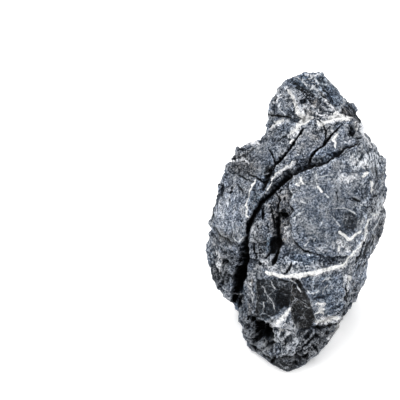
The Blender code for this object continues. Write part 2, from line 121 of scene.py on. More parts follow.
# Landmarks on the front, inside the outline: across, up, out
FRONT = {
    "brow_left": (-5, 156, 90), "brow": (9, 163, 89), "brow_right": (18, 152, 91),
    "cap_mid": (2, 146, 95), "cheek_left": (-14, 147, 84), "cheek_right": (29, 148, 85),
    "cheek_far": (37, 139, 76),
    "ledge_left": (-12, 134, 88), "ledge_mid": (4, 137, 97), "ledge_right": (17, 137, 98),
    "ledge_end": (32, 139, 92),
    "slab_one_top": (3, 129, 99), "slab_one_low": (-8, 110, 100), "slab_two_top": (26, 130, 98),
    "slab_two_low": (12, 115, 102), "slab_end": (39, 126, 92),
    "arm_top": (-15, 121, 91), "arm_mid": (-25, 110, 86), "arm_low": (-21, 95, 94),
    "thumb_ridge_top": (-31, 98, 92), "thumb_ridge": (-34, 82, 94), "thumb_ridge_low": (-37, 62, 88),
    "thumb_face": (-46, 75, 73), "thumb_face_top": (-45, 92, 69), "thumb_face_low": (-48, 55, 60),
    "thumb_calf": (-50, 40, 46), "thumb_shin": (-42, 44, 60),
    "face_top_left": (-5, 102, 105), "face_top": (15, 109, 107), "face_top_right": (36, 116, 99),
    "face_right": (49, 106, 84), "face_edge_top": (50, 95, 85), "face_edge": (45, 77, 92),
    "face_edge_low": (40, 57, 94), "face_left": (-5, 82, 105), "face_low_left": (-3, 60, 102),
    "face_mid": (17, 82, 108), "face_low": (17, 51, 101),
    "strip_top": (-18, 90, 96), "strip_mid": (-25, 75, 91), "strip_low": (-30, 55, 86),
    "strip_foot": (-32, 40, 79), "hollow_top": (-11, 76, 94), "hollow_mid": (-13, 58, 90),
    "shelf_left": (-8, 46, 92), "shelf_right": (14, 46, 96),
    "vein_left": (-24, 37, 87), "vein_mid": (-7, 35, 96), "vein_right": (13, 38, 98),
    "vein_end": (31, 42, 92),
    "dark_facet_top": (-33, 27, 68), "dark_facet_low": (-32, 13, 55), "dark_facet_foot": (-25, 4, 58),
    "wedge_top": (-4, 30, 91), "wedge_left": (-6, 16, 78), "wedge_foot": (1, 0, 66),
    "wedge_right": (12, 7, 70), "wedge_ridge": (6, 18, 85),
    "plate_mid": (21, 19, 80), "plate_edge": (32, 26, 76),
    "plate_foot": (27, 8, 60), "chunk_left": (-18, -8, 66), "chunk_front": (-3, -14, 69),
    "chunk_right": (12, -9, 65), "rim_right": (21, -1, 50),
    "flank_top": (54, 95, 60), "flank_mid": (51, 68, 64), "flank_low": (45, 45, 56),
    "flank_foot": (38, 25, 38),
}

# Landmarks on the back, all behind the outline: across, up, out
BACK = {
    "crown_back": (4, 155, 47), "back_top_left": (-10, 130, 40), "back_top_right": (28, 125, 30),
    "back_left_high": (-34, 98, 22), "back_high": (0, 112, 18), "back_right_high": (44, 92, 12),
    "back_ridge": (12, 88, -8), "back_left_mid": (-46, 66, 4), "back_mid": (-18, 72, -10),
    "back_right_mid": (42, 60, -6), "back_low": (4, 50, -32), "back_left_low": (-40, 40, -18),
    "back_right_low": (34, 38, -24), "heel_left": (-34, 25, -27), "heel_mid": (-4, 32, -36),
    "heel_right": (30, 26, -28),
}

# Landmarks of the flat bed that the stone stands on: x, y
BED = {
    "bed_toe": (-7, -51), "bed_right_front": (12, -33), "bed_right": (28, 0),
    "bed_right_back": (33, 19), "bed_back_right": (27, 36), "bed_back": (-4, 44),
    "bed_back_left": (-32, 32), "bed_left": (-38, 13), "bed_left_front": (-35, -14),
    "bed_toe_left": (-20, -42), "bed_middle": (0, 0), "bed_middle_left": (-18, 10),
    "bed_middle_right": (14, 14),
}

# Cracks as points on the front: across, up, half width on the left and on the right, depth
CRACKS = {
    "main": [
        (39, 122, 0.8, 1.2, 1.5), (31, 119.5, 0.8, 2.7, 2.5), (24.5, 114.5, 0.8, 4.6, 4.5),
        (18, 109.5, 0.9, 5.6, 6), (10.5, 108, 0.9, 6.4, 7), (3, 105, 1.0, 6.6, 8),
        (-5, 102, 1.1, 6.6, 9), (-12, 96, 1.1, 6, 10), (-18.5, 89, 1.2, 4.6, 11),
        (-25, 82, 1.2, 3.8, 11), (-29.5, 75.5, 1.3, 3.5, 12), (-34, 66, 1.5, 3, 13),
        (-36.5, 56, 2.6, 3.2, 17), (-38, 46, 4, 3.8, 22), (-39.5, 36, 4.8, 4, 26),
        (-41, 25, 4.8, 3.8, 24), (-43, 18, 3.4, 3, 16),
    ],
    "upper": [
        (3, 133, 0.6, 0.7, 2), (0.5, 129, 0.6, 0.9, 4), (-4, 123, 0.8, 1.1, 5.5),
        (-8.5, 117, 0.8, 1.3, 6), (-12.5, 113, 0.9, 1.6, 6.5), (-16, 108.5, 1, 2.4, 7),
        (-19.5, 102.5, 1.1, 3.4, 7), (-22, 97, 1.1, 2.9, 6), (-24, 92, 0.9, 1.4, 3),
    ],
    "right": [
        (27, 134, 0.5, 0.6, 1.5), (23, 130.5, 0.7, 0.8, 3.5), (18.5, 125, 0.8, 0.9, 5),
        (15, 121, 0.8, 0.9, 5.5), (11, 118, 0.8, 0.9, 5.5), (8, 113.5, 0.8, 0.9, 5.5),
        (5.5, 107, 0.8, 0.9, 6),
    ],
    "right_branch": [
        (16, 134.5, 0.5, 0.6, 2), (17.5, 131, 0.6, 0.7, 3.5), (17.5, 127, 0.6, 0.7, 4),
        (15.5, 122.5, 0.7, 0.7, 4.5),
    ],
    "left_branch": [
        (-20.5, 119.5, 0.5, 0.5, 1.5), (-18.5, 116, 0.6, 0.7, 3.5), (-17.5, 112.5, 0.7, 0.8, 4.5),
        (-16, 109, 0.8, 0.8, 5),
    ],
    "thumb_upper": [
        (-34, 102.5, 0.5, 0.5, 1), (-30, 101.5, 0.6, 0.7, 2.5), (-27, 99.5, 0.6, 0.7, 3),
        (-24, 97, 0.7, 0.8, 3.5), (-22.5, 93.5, 0.7, 0.8, 3.5),
    ],
    "thumb_lower": [
        (-41.5, 102.5, 0.5, 0.5, 1), (-37.5, 100, 0.6, 0.5, 1.8), (-34, 99, 0.6, 0.5, 1.8),
        (-31, 98, 0.5, 0.5, 1),
    ],
    "face_foot": [
        (-4, 59, 0.6, 0.6, 1.2), (-2, 55.5, 0.7, 0.9, 3), (1.5, 52.5, 0.8, 1.2, 4),
        (6.5, 50.5, 0.8, 1.4, 4.5), (12.5, 49.5, 0.7, 1.4, 4), (18, 48, 0.6, 0.7, 1.5),
    ],
    "hollow": [
        (-13.5, 77, 1.6, 1.6, 3), (-15, 70, 2.6, 2.2, 7), (-14.5, 62, 2.8, 2.6, 9),
        (-14, 53.5, 2.6, 2.8, 10), (-16, 46, 2.2, 2.2, 8), (-18, 41.5, 1.2, 1.2, 2.5),
    ],
    "hollow_branch": [
        (-22.5, 46.5, 0.7, 0.7, 2.5), (-20, 49, 0.9, 0.9, 4.5), (-16.5, 51, 0.9, 0.9, 5),
    ],
    "vein_notch": [
        (-5.5, 43, 0.5, 0.5, 2), (-7, 39.5, 0.8, 0.8, 4), (-9, 36.5, 1.2, 0.8, 3.5),
        (-11, 36, 0.6, 0.6, 1.5),
    ],
    "flank_upper": [
        (44, 62, 0.5, 0.5, 1.2), (41, 54.5, 0.6, 0.7, 2.5), (38.5, 48, 0.6, 0.7, 2.5),
        (37, 42.5, 0.5, 0.5, 1.2),
    ],
    "flank_lower": [
        (32, 33, 0.5, 0.5, 1.2), (30.5, 27, 0.7, 0.7, 3), (31.5, 21, 0.7, 0.7, 3),
        (30, 12.5, 0.6, 0.6, 2.5), (27, 5, 0.5, 0.6, 1.5),
    ],
    "cap": [
        (-2, 161, 0.5, 0.5, 1.5), (1.5, 158, 0.6, 0.7, 3), (4.5, 155.5, 0.6, 0.8, 3),
        (8.5, 153, 0.5, 0.6, 1.5),
    ],
    "cap_knob": [(-19.5, 142.5, 0.6, 0.8, 2.5), (-13, 141.5, 0.6, 0.8, 2.5), (-6, 141, 0.5, 0.5, 1.2)],
    "chunk_right": [
        (-3, -19, 0.6, 0.8, 2), (3, -14, 0.9, 1, 3.5), (8.5, -8.8, 0.9, 0.9, 3.5), (13, -5, 0.6, 0.6, 2),
    ],
    "toe_left": [
        (-30, -13, 0.7, 0.7, 2.5), (-24, -17, 0.9, 0.9, 3.5), (-17, -22, 0.9, 0.9, 3),
        (-12, -27, 0.6, 0.6, 2),
    ],
    "plate_under": [
        (8, 0, 0.5, 0.6, 1.5), (15, -1.5, 0.7, 0.9, 3), (22, 0.5, 0.7, 0.9, 3), (27, 4, 0.5, 0.6, 1.5),
    ],
    "strip_left": [(-30.5, 57, 0.5, 0.5, 1.2), (-30, 51, 0.8, 0.8, 2.5), (-28.5, 46.5, 0.6, 0.6, 1.2)],
    "strip_mid": [
        (-19, 80, 0.5, 0.5, 1.5), (-18, 76, 0.8, 0.8, 3), (-17, 71, 1, 1, 3.5), (-16.5, 66, 1.2, 1.2, 3.5),
    ],
    "strip_top": [
        (-15, 90, 0.5, 0.5, 1.5), (-13, 85, 0.8, 0.8, 3), (-14.5, 80, 0.8, 0.8, 3), (-13.5, 76, 1, 1, 3),
    ],
    "strip_slit": [(-23, 81.5, 0.5, 0.5, 1.5), (-24, 77.5, 0.8, 0.8, 3.5), (-25, 72.5, 0.7, 0.7, 2)],
}

# Pits: across, up, half length, half width, turn from upright in degrees, depth
PITS = {
    "foot_pit": (-24, -4, 8, 4.2, -25, 13), "face_pit": (-10.5, 76, 3.8, 3, 0, 5),
    "thumb_pit": (-45, 92, 2.4, 1.2, 0, 3), "nape_pit": (35.5, 131.5, 5.4, 2.6, 35, 6),
    "dark_facet_dent": (-10, 19.5, 8, 6, 0, 3.5), "chunk_pit": (5, -7.5, 2.2, 1.8, 0, 3),
    "crown_pit": (-17, 153, 3, 1.6, 60, 3), "flank_hole": (50, 57, 5, 2, 20, 3.5),
    "flank_hole_low": (51.5, 52, 3.5, 1.6, 30, 3.5), "flank_hole_mid": (54.5, 62.5, 4, 1.8, 15, 4),
    "flank_hole_high": (56.5, 70, 3.5, 1.5, 10, 3.5),
    "thumb_hole": (-47, 33, 3, 1.8, 30, 3),
    "foot_pit_wide": (-24, -3, 8.4, 5.6, -25, 18), "foot_pocket": (-29, 4.5, 5.5, 2.8, -42, 9),
    "foot_pocket_low": (-27, -9, 4.5, 2.4, 35, 8),
    "foot_pocket_side": (-29.5, -15, 3, 1.6, -50, 5), "foot_slot": (-20, -11, 4.5, 1.5, -10, 6),
    "chunk_hole_right": (12.8, -7.5, 2.4, 1.5, 50, 5), "chunk_hole_low": (10.3, -14, 2.6, 1.5, -40, 5),
    "chunk_hole_foot": (5, -19.5, 2.6, 1.5, 40, 5), "chunk_hole_left": (-9, -12, 2, 1.3, 20, 4),
    "chunk_hole_mid": (-1, -13.5, 1.8, 1.2, -30, 3.5), "toe_hole": (-16, -22.5, 3, 1.4, 30, 5),
    "toe_hole_right": (-2, -24.5, 2.6, 1.3, -50, 4), "rim_hole": (18.5, -4, 2.4, 1.3, 60, 4),
    "side_pocket": (-39, 19, 8, 3, -5, 6), "thumb_low_hole": (-55, 37, 2.4, 1.2, 10, 3.5),
    "thumb_low_hole_right": (-50, 43, 3, 1.6, -30, 4), "thumb_low_hole_foot": (-52, 28, 2.8, 1.6, 20, 4),
    "thumb_top_slot": (-51.5, 92, 5, 1.2, 8, 4), "thumb_top_slot_left": (-54.5, 88, 4, 1, 10, 3),
    "arm_hole": (-44, 113, 2.2, 1.2, 60, 4), "arm_hole_top": (-39, 119, 2.4, 1.3, 70, 4),
    "strip_eye": (-10.8, 75, 3.0, 3.2, 0, 8), "strip_eye_top": (-6.5, 80, 2.2, 1.1, -10, 4),
    "strip_hollow": (-17, 55, 7.5, 3.4, 8, 9), "strip_slot": (-24.4, 76, 5, 1.1, 6, 5),
    "strip_hole": (-28, 68, 1.6, 0.9, 40, 3), "strip_hole_mid": (-21, 68, 1.4, 0.9, -30, 3),
    "strip_hole_top": (-18.5, 87, 1.8, 0.9, 20, 3), "strip_hole_high": (-12.5, 91.5, 1.8, 1, 30, 3),
    "strip_hole_right": (-10.5, 86, 2.2, 1, 10, 3.5), "strip_foot_hole": (-27, 42.5, 1.8, 1.1, -30, 3.5),
    "thumb_pit_deep": (-45, 91.5, 3.2, 1.3, 8, 5), "flank_dark_hole": (54.5, 66, 4.5, 1.6, 22, 3),
    "nape_dark": (36, 131.5, 5.2, 1.9, -38, 7),
}

# Lumps: across, up, radius, height
LUMPS = {
    "chunk": (-2.5, -11, 12, 3.5), "toe_lump": (-9, -25, 7, 2.5), "thumb_swell": (-43, 79, 10, 2),
    "left_knob": (-33, -4, 4.5, 3), "left_knob_high": (-35, 5, 4, 2.5), "foot_lump": (-22.5, -17, 6, 3),
    "strip_swell": (-27, 65.5, 7.5, 2), "cap_swell": (1.5, 149, 9.5, 1.5),
}

# Ledges as points on the front; then rise and fade width on the left, drop and fade width on the right
LEDGES = {
    "face_edge": (
        [(-5, 100.5), (-7.5, 94), (-5, 88.5), (-7, 83), (-3.5, 79), (-6.5, 73), (-4.5, 68), (-5.5, 63),
         (-2.5, 57), (1, 53.5), (6, 50.5), (13, 49.5), (18.5, 48), (25, 48)], 1.8, 22, 1.8, 6),
    "brow_edge": (
        [(-16, 135.5), (-8, 139.5), (0.5, 135.5), (7, 138), (18, 137), (24.5, 139.5), (33.5, 140)],
        -1.4, 8, -1.4, 7),
    "cap_edge": ([(30, 143), (21, 148), (14, 155), (4, 157), (-3, 162)], 0.8, 6, 1.2, 6),
    "flank_edge": (
        [(33, 20), (38, 38), (42, 50), (46, 65), (48, 80), (49, 100), (44, 118)], 1.0, 6, 1.6, 5),
    "thumb_edge": ([(-59, 66), (-54, 58), (-50, 53), (-42, 49.5), (-37.5, 52)], 1.0, 6, 1.8, 7),
    "chunk_edge": ([(-20, 0), (-10, -1), (1, -2), (12, 1), (20, 6)], 0.6, 6, 2.4, 8),
}

# Patches of crags on the front: across, up, radius, strength
CRAGS = {
    "cap": (9.5, 151.5, 20, 1.0), "beside_face": (-11, 70.5, 9.5, 0.8), "strip": (-27, 54.5, 11, 0.45),
    "thumb_low": (-52, 38.5, 13.5, 1.0), "foot_left": (-29.5, -6.5, 16, 1.3), "chunk": (-2.5, -13, 17, 1.0),
    "rim": (20.5, -10.5, 16, 0.9), "right_waist": (53, 81.5, 12, 0.7), "nape": (37, 130, 7, 0.8),
    "left_arm": (-39, 111, 12, 0.7),
}

# Thin dark lines, drawn with no relief of their own, into the cracks' dark line: across, up, half width
DARK_LINES = {
    "flank_band": [(41, 45, 0.35), (39.8, 50, 0.45), (41.5, 56, 0.3), (44, 62, 0.3), (45.5, 69.6, 0.3)],
    "flank_run": [(36.5, 33, 0.3), (40, 38, 0.5), (43.5, 46, 0.4), (46, 55, 0.6), (50, 62, 0.4)],
    "flank_low": [(28.5, -2, 0.4), (31.5, 11, 0.5), (32, 22, 0.45), (38, 32.6, 0.5), (39.5, 41, 0.3)],
    "flank_outer": [(37, 17, 0.3), (42, 30, 0.35), (45, 42, 0.3), (46, 52, 0.25)],
    "flank_top": [(44.4, 85.3, 0.3), (49, 86, 0.5), (54.5, 89.7, 0.6)],
    "flank_high": [(50, 92, 0.3), (53, 100, 0.4), (52, 108, 0.3)],
    "thumb_rim": [(-52, 97, 0.3), (-55.5, 90, 0.45), (-57, 80, 0.45), (-58.3, 70, 0.35)],
    "thumb_mark": [(-46, 84.5, 0.35), (-44, 86.5, 0.4)],
    "face_cut": [(34.5, 87, 0.3), (37, 85.8, 0.45), (39.4, 85, 0.3)],
    "face_tick": [(23.7, 91, 0.3), (25.2, 87, 0.35), (25, 83.6, 0.25)],
    "cap_dark": [(-4, 164.5, 0.3), (-1, 162, 0.5), (3, 159.7, 0.6), (8, 156.3, 0.5), (10, 154.5, 0.3)],
    "cheek_rim": [(33, 150, 0.3), (37.5, 145.5, 0.45), (40.5, 139.5, 0.5), (42, 134.5, 0.4)],
    "cheek_left": [(30, 147.5, 0.3), (30.5, 143, 0.4), (33.5, 138.5, 0.4)],
    "thumb_top_curve": [(-41.5, 96.5, 0.3), (-39.8, 92.8, 0.5), (-38, 90.2, 0.3)],
    "flank_slot": [(38.3, 46, 0.3), (39.4, 49.5, 0.8), (41, 53.2, 0.4)],
    "crack_side": [(-33, 60.5, 0.4), (-34.6, 56, 0.6), (-33.6, 50.5, 0.4)],
    "cap_dark_low": [(2, 155.5, 0.3), (6, 152, 0.5), (8.5, 148, 0.3)],
    "cap_fold": [(13, 163, 0.3), (18, 158, 0.35), (23, 151, 0.3)],
    "arm_fold": [(-42, 113, 0.3), (-36, 115, 0.35), (-28, 119, 0.3)],
    "slab_foot": [(24, 113, 0.3), (30, 116.5, 0.4), (36, 119.5, 0.3)],
}

# Crisp edges: painted shadow right of the line's direction, painted highlight left: across, up, shadow's
# width
EDGE_SHADOWS_AND_HIGHLIGHTS = {
    "face_left": [
        (-5, 100.5, 3), (-7.5, 94, 4.5), (-5, 88.5, 4.5), (-7, 83, 4.5), (-3.5, 79, 4), (-6.5, 73, 3.5),
        (-4.5, 68, 3.5), (-5.5, 63, 3), (-2.5, 57, 2.5), (1, 53.5, 2.5), (6, 50.5, 2.2), (13, 49.5, 2),
        (18.5, 48, 1.5),
    ],
    "face_crease": [(32, 89.5, 1.5), (36, 87, 2), (40.5, 84.8, 1.5)],
    "wedge_right": [(-0.4, 32.5, 2), (3.5, 26, 3), (6.8, 19, 4), (9.5, 11, 4), (11.5, 4.6, 3)],
    "facet_foot": [(-32, 10.5, 2.5), (-26, 6.5, 3.5), (-20, 2.1, 3.5), (-16.5, 1.3, 2)],
    "facet_left": [(-28.5, 10, 3), (-28, 21, 4), (-28.5, 32, 3)],
    "thumb_top": [(-44, 96.5, 1.5), (-48.5, 93, 2.5), (-52, 88, 2.5), (-55, 81, 1.5)],
    "arm_top": [(-43.5, 116, 2), (-38, 114.5, 3), (-33.5, 117.5, 2.5), (-30, 121, 1.5)],
    "slab_end": [(41.5, 128, 1.5), (37, 121.5, 2), (31, 117.5, 1.5)],
    "strip_lump": [(-30, 60, 2), (-26, 56.5, 3), (-22, 57.5, 2.5)],
    "thumb_ledge": [(-57.5, 68.5, 2), (-53, 63.4, 3), (-46.4, 58.4, 3.5), (-39.6, 55.9, 3), (-37.2, 59.5, 2)],
    "cap_slab": [(24.5, 145, 2), (18.8, 151, 3), (14, 157, 2.5)],
    "toe_top": [(-18, -23.5, 2), (-15.5, -20.5, 2.5), (-9, -19.5, 3), (-2, -18.5, 3), (4, -21, 2.5)],
    "chunk_left": [(-18.3, -0.5, 3), (-19.2, -9.5, 3), (-15.8, -18.9, 2.5)],
    "plate_foot": [(9, 1.5, 2), (15, 0.2, 2.5), (21, 1.5, 2.5), (26.5, 3, 2)],
    "rim_right": [(23, -6.5, 2), (27.5, 0.5, 2.5), (31.5, 8, 2.5)],
    "cap_left_foot": [(-21, 142.8, 2), (-13, 141.8, 2.5), (-6, 141, 1.5)],
    "knob_right": [(-27, 6, 2), (-26.8, 0, 2.5), (-29, -6.5, 2)],
}

# Smooth patches of the front: across, up, half width, half height, share of the grain taken away
SMOOTH = {
    "face": (17, 79, 25, 29, 0.85), "face_top": (28, 104, 20, 9, 0.6), "cap_right": (22, 155, 9, 8, 0.6),
    "chunk": (-3, -9, 9, 6, 0.55), "foot_knob": (-32, -4, 4, 9, 0.4), "toe": (-9, -26, 12, 5, 0.45),
    "rim": (16, -8, 10, 5, 0.5), "thumb_low": (-53, 38, 7, 10, 0.4), "slab_one": (5, 123, 7, 11, 0.7),
    "slab_two": (25, 122, 11, 9, 0.7), "thumb_face": (-46, 74, 10, 18, 0.4), "arm": (-27, 110, 8, 10, 0.5),
    "dark_facet": (-19, 20, 12, 14, 0.6), "wedge": (2, 14, 8, 16, 0.75), "plate": (17, 20, 12, 16, 0.3),
    "cap_left": (-11, 148, 6, 6, 0.6), "cap_mid": (9, 147, 10, 7, 0.65), "crown": (8, 162, 12, 9, 0.55),
    "strip_right": (-7, 55, 4, 14, 0.4), "flank": (46, 50, 6, 25, 0.4),
}

# Bold white veins as points on the front: across, up, half width
VEINS = {
    "lower_vein": [
        (-23, 37, 0.8), (-19, 35.9, 1.3), (-13.7, 34.7, 1.0), (-9.6, 34.4, 0.5), (-7, 34.4, 1.0),
        (-4, 34.3, 1.7), (-0.4, 34.4, 1.8), (4.8, 35.7, 1.5), (9.4, 36.7, 1.3), (17, 38.6, 1.0),
        (22, 40, 1.2), (29.5, 41.5, 1.0),
    ],
    "flank_vein": [
        (29.5, 41.5, 0.9), (32, 45, 0.6), (34, 49, 0.6), (36, 52, 0.45), (39, 55, 0.4), (41.5, 58.5, 0.35),
        (42.5, 63, 0.35), (43, 68, 0.3), (45, 72.5, 0.4), (50, 74.5, 0.3), (54, 76.5, 0.3),
    ],
    "plate_patch": [(11, 3.8, 0.5), (15, 3.4, 1.0), (19.5, 4.4, 1.3), (23, 5.4, 1.2), (26.5, 5.8, 0.8)],
    "plate_dash": [(12, 16.4, 0.5), (15, 16, 0.7), (17.6, 16.1, 0.4)],
    "plate_spot": [(13.8, 12.5, 0.6), (15.5, 11.6, 1.1), (17.1, 11.3, 0.6)],
    "plate_low_dash": [(10.5, 8.9, 0.5), (14, 9.3, 0.7), (17.1, 8.6, 0.5)],
    "wedge_patch": [(-15, 1.8, 0.7), (-12, 4.8, 1.0), (-8.6, 8.8, 0.8), (-5.5, 13, 0.5)],
    "wedge_spot": [(-13, -2.5, 1.5), (-11, -3, 1.2)],
    "rim_edge": [(31, 4.5, 0.9), (28.5, 0.5, 1.1), (26, -3.5, 0.7)],
    "rim_blob": [(33, 34.5, 0.8), (33.4, 33, 1.2), (34, 31.4, 0.6)],
    "thumb_vein": [
        (-29.7, 99.8, 0.6), (-30.4, 96.8, 0.8), (-32.6, 93.7, 0.55), (-34, 91, 0.3), (-34.4, 86, 0.2),
        (-34.9, 82.4, 0.35), (-34.3, 79.3, 0.2), (-35.3, 75.2, 0.35), (-33.4, 73.9, 0.3),
    ],
    "slab_vein": [
        (-4.3, 111.4, 0.3), (-6.5, 109.2, 0.5), (-8.8, 107.4, 0.3), (-11.5, 105.9, 0.5), (-16, 102.8, 0.55),
        (-17.8, 99.1, 0.3), (-19.6, 95, 0.3), (-23.2, 89.6, 0.25),
    ],
    "ledge_left": [(-17.9, 134, 0.9), (-14.5, 136.8, 1.4), (-11.4, 138.9, 1.0)],
    "ledge_mid": [
        (-6, 129.5, 0.7), (-3.5, 130.8, 1.0), (-1, 132.5, 0.9), (0.6, 136, 2.0), (3, 138.2, 2.8),
        (6, 139.4, 2.0), (8.9, 140.4, 1.2),
    ],
    "ledge_right": [
        (12.1, 135.2, 1.5), (15.5, 136, 1.8), (18.4, 137.2, 1.4), (21.5, 139, 2.0), (25, 140.8, 3.4),
        (28.5, 140.8, 3.5), (31.5, 140.4, 3.0), (33.5, 141, 1.4),
    ],
    "cap_line": [
        (-7.3, 158.8, 0.6), (-4.8, 154.5, 1.2), (-2.6, 149.5, 1.1), (-1, 145.5, 1.0), (1.2, 141.5, 1.6),
        (3, 139, 1.8),
    ],
    "nape_vein": [(36, 137, 0.4), (37.5, 136, 0.6), (39.5, 132.5, 0.5), (40.5, 129.5, 0.4)],
    "slab_mark": [(25.3, 129.6, 0.5), (22, 125.2, 0.8), (23.8, 123.2, 0.6), (23.3, 119.8, 0.5)],
    "slab_dash": [(-6.2, 122.9, 0.8), (-3.6, 125.6, 0.6)],
    "face_blob": [(41.7, 100.7, 0.9), (43.2, 102.4, 1.5), (44.8, 103.9, 0.8)],
    "face_hook": [(46.6, 97.8, 0.7), (48.3, 95.4, 1.5), (49.3, 92.6, 1.2), (48.4, 89.9, 0.8)],
    "face_dash": [(11.5, 94.6, 0.45), (14.7, 90.3, 0.6)],
    "face_mark": [(0.8, 100.6, 0.5), (0.9, 97.9, 0.5), (2.6, 95.8, 0.5)],
    "face_spot": [(-2.5, 95.9, 0.8), (-0.2, 94.6, 0.5)],
    "oval_foot": [
        (25.5, 64.3, 1.0), (28.2, 62.6, 0.8), (31.5, 60, 1.1), (33, 59.2, 1.2), (35, 61.1, 0.8),
        (40, 64.7, 0.6),
    ],
    "oval_drip": [(25.5, 55, 0.5), (25.6, 51.3, 0.7)],
}

# Patchy white smears as points on the front, softer than the veins: across, up, half width
SMEARS = {
    "plate_patch": [(10, 3.6, 1.2), (15, 3.4, 2.4), (19.5, 4.4, 3.0), (23, 5.4, 3.0), (27, 6.0, 1.8)],
    "plate_mid": [(11, 16.2, 0.8), (15, 15.5, 1.4), (17.6, 15.9, 0.8)],
    "plate_low": [(12, 9.2, 1.2), (15.5, 11.2, 1.8), (17.5, 10.5, 1.2)],
    "wedge_patch": [(-18, -0.5, 1.2), (-14.5, 2.3, 2.6), (-12, 4.8, 2.0), (-8.6, 8.8, 1.3), (-5.5, 13, 0.8)],
    "wedge_spot": [(-14, -4, 2.0), (-9.5, -2.5, 2.4), (-6, -4.5, 1.6)],
    "rim_edge": [(31.5, 5, 1.2), (28.5, 0.5, 1.6), (25.5, -4.5, 1.2), (20, -9.5, 0.9)],
    "cap_smear": [
        (-7.5, 160.5, 0.7), (-6.2, 157.5, 1.4), (-4.3, 153.8, 1.7), (-2.2, 148.8, 1.7), (-0.5, 144.6, 2.0),
        (1.8, 140.4, 2.4), (4.4, 137.8, 2.0),
    ],
    "cap_band": [
        (6.2, 163, 0.4), (11, 159, 0.6), (15.5, 156, 0.8), (18.8, 149.6, 1.1), (23.9, 144.6, 1.5),
        (28.9, 140.8, 1.4),
    ],
    "cap_mid_smear": [(8, 148, 1.0), (12, 144, 1.6), (17, 141, 2.0), (22, 139.5, 1.6)],
    "ledge_smear": [(12, 136, 1.8), (19, 137, 2.2), (26, 140, 2.6), (33, 139.5, 2.2)],
    "ledge_foot": [(-7, 127.5, 1.4), (-3.5, 130.5, 2.0), (1, 133, 1.8)],
    "ledge_left": [(-18.5, 132.5, 1.2), (-14.5, 136.5, 2.0), (-10.5, 139, 1.6)],
    "nape_smear": [(39, 136, 1.4), (43, 130, 1.8), (48, 124, 1.6), (53, 117, 1.2)],
    "crown_smear": [(4, 169.5, 0.5), (9, 167.5, 0.8), (13, 168.5, 0.5)],
    "cap_left_smear": [(-17, 151, 1.4), (-13.5, 153.5, 1.8), (-10, 157, 1.4)],
    "face_top_smear": [(27, 100, 2.0), (33, 99.5, 2.6), (38, 102, 1.6)],
    "shoulder_smear": [(34, 112, 2.6), (40, 110, 2.4), (45, 107, 1.6)],
    "flank_smear": [
        (28, 38, 0.8), (31, 42, 1.2), (34.5, 47, 1.5), (37.5, 52, 1.2), (41, 59, 0.8), (43.5, 65, 0.7),
        (47, 70, 1.0), (51, 74, 1.3), (55.5, 80, 1.2), (57.5, 87, 0.8),
    ],
    "under_oval": [(24, 58, 1.4), (29, 56, 2.0), (33, 52, 1.6)],
    "flank_low": [(30.5, 22, 0.8), (31.5, 29, 1.3), (30.5, 35, 1.2)],
    "thumb_low_smear": [(-56, 50, 1.6), (-53.5, 44, 2.0), (-54, 37, 1.6)],
    "slab_foot": [(-18, 99, 0.6), (-14, 103.5, 1.0), (-8, 107.5, 1.0), (-3, 111.5, 0.6)],
    "arm_spots": [(-44, 112, 1.2), (-39, 113.5, 1.8), (-34, 110, 1.2)],
    "arm_top": [(-37, 123, 1.4), (-31, 124.5, 1.8), (-26, 122.5, 1.2)],
    "hollow_rim": [(-8, 68, 0.9), (-9.5, 64.5, 1.3), (-8.5, 61, 0.9)],
    "crack_edge": [(-24, 44, 1.3), (-21.5, 41.5, 1.6), (-19.5, 39, 1.0)],
}

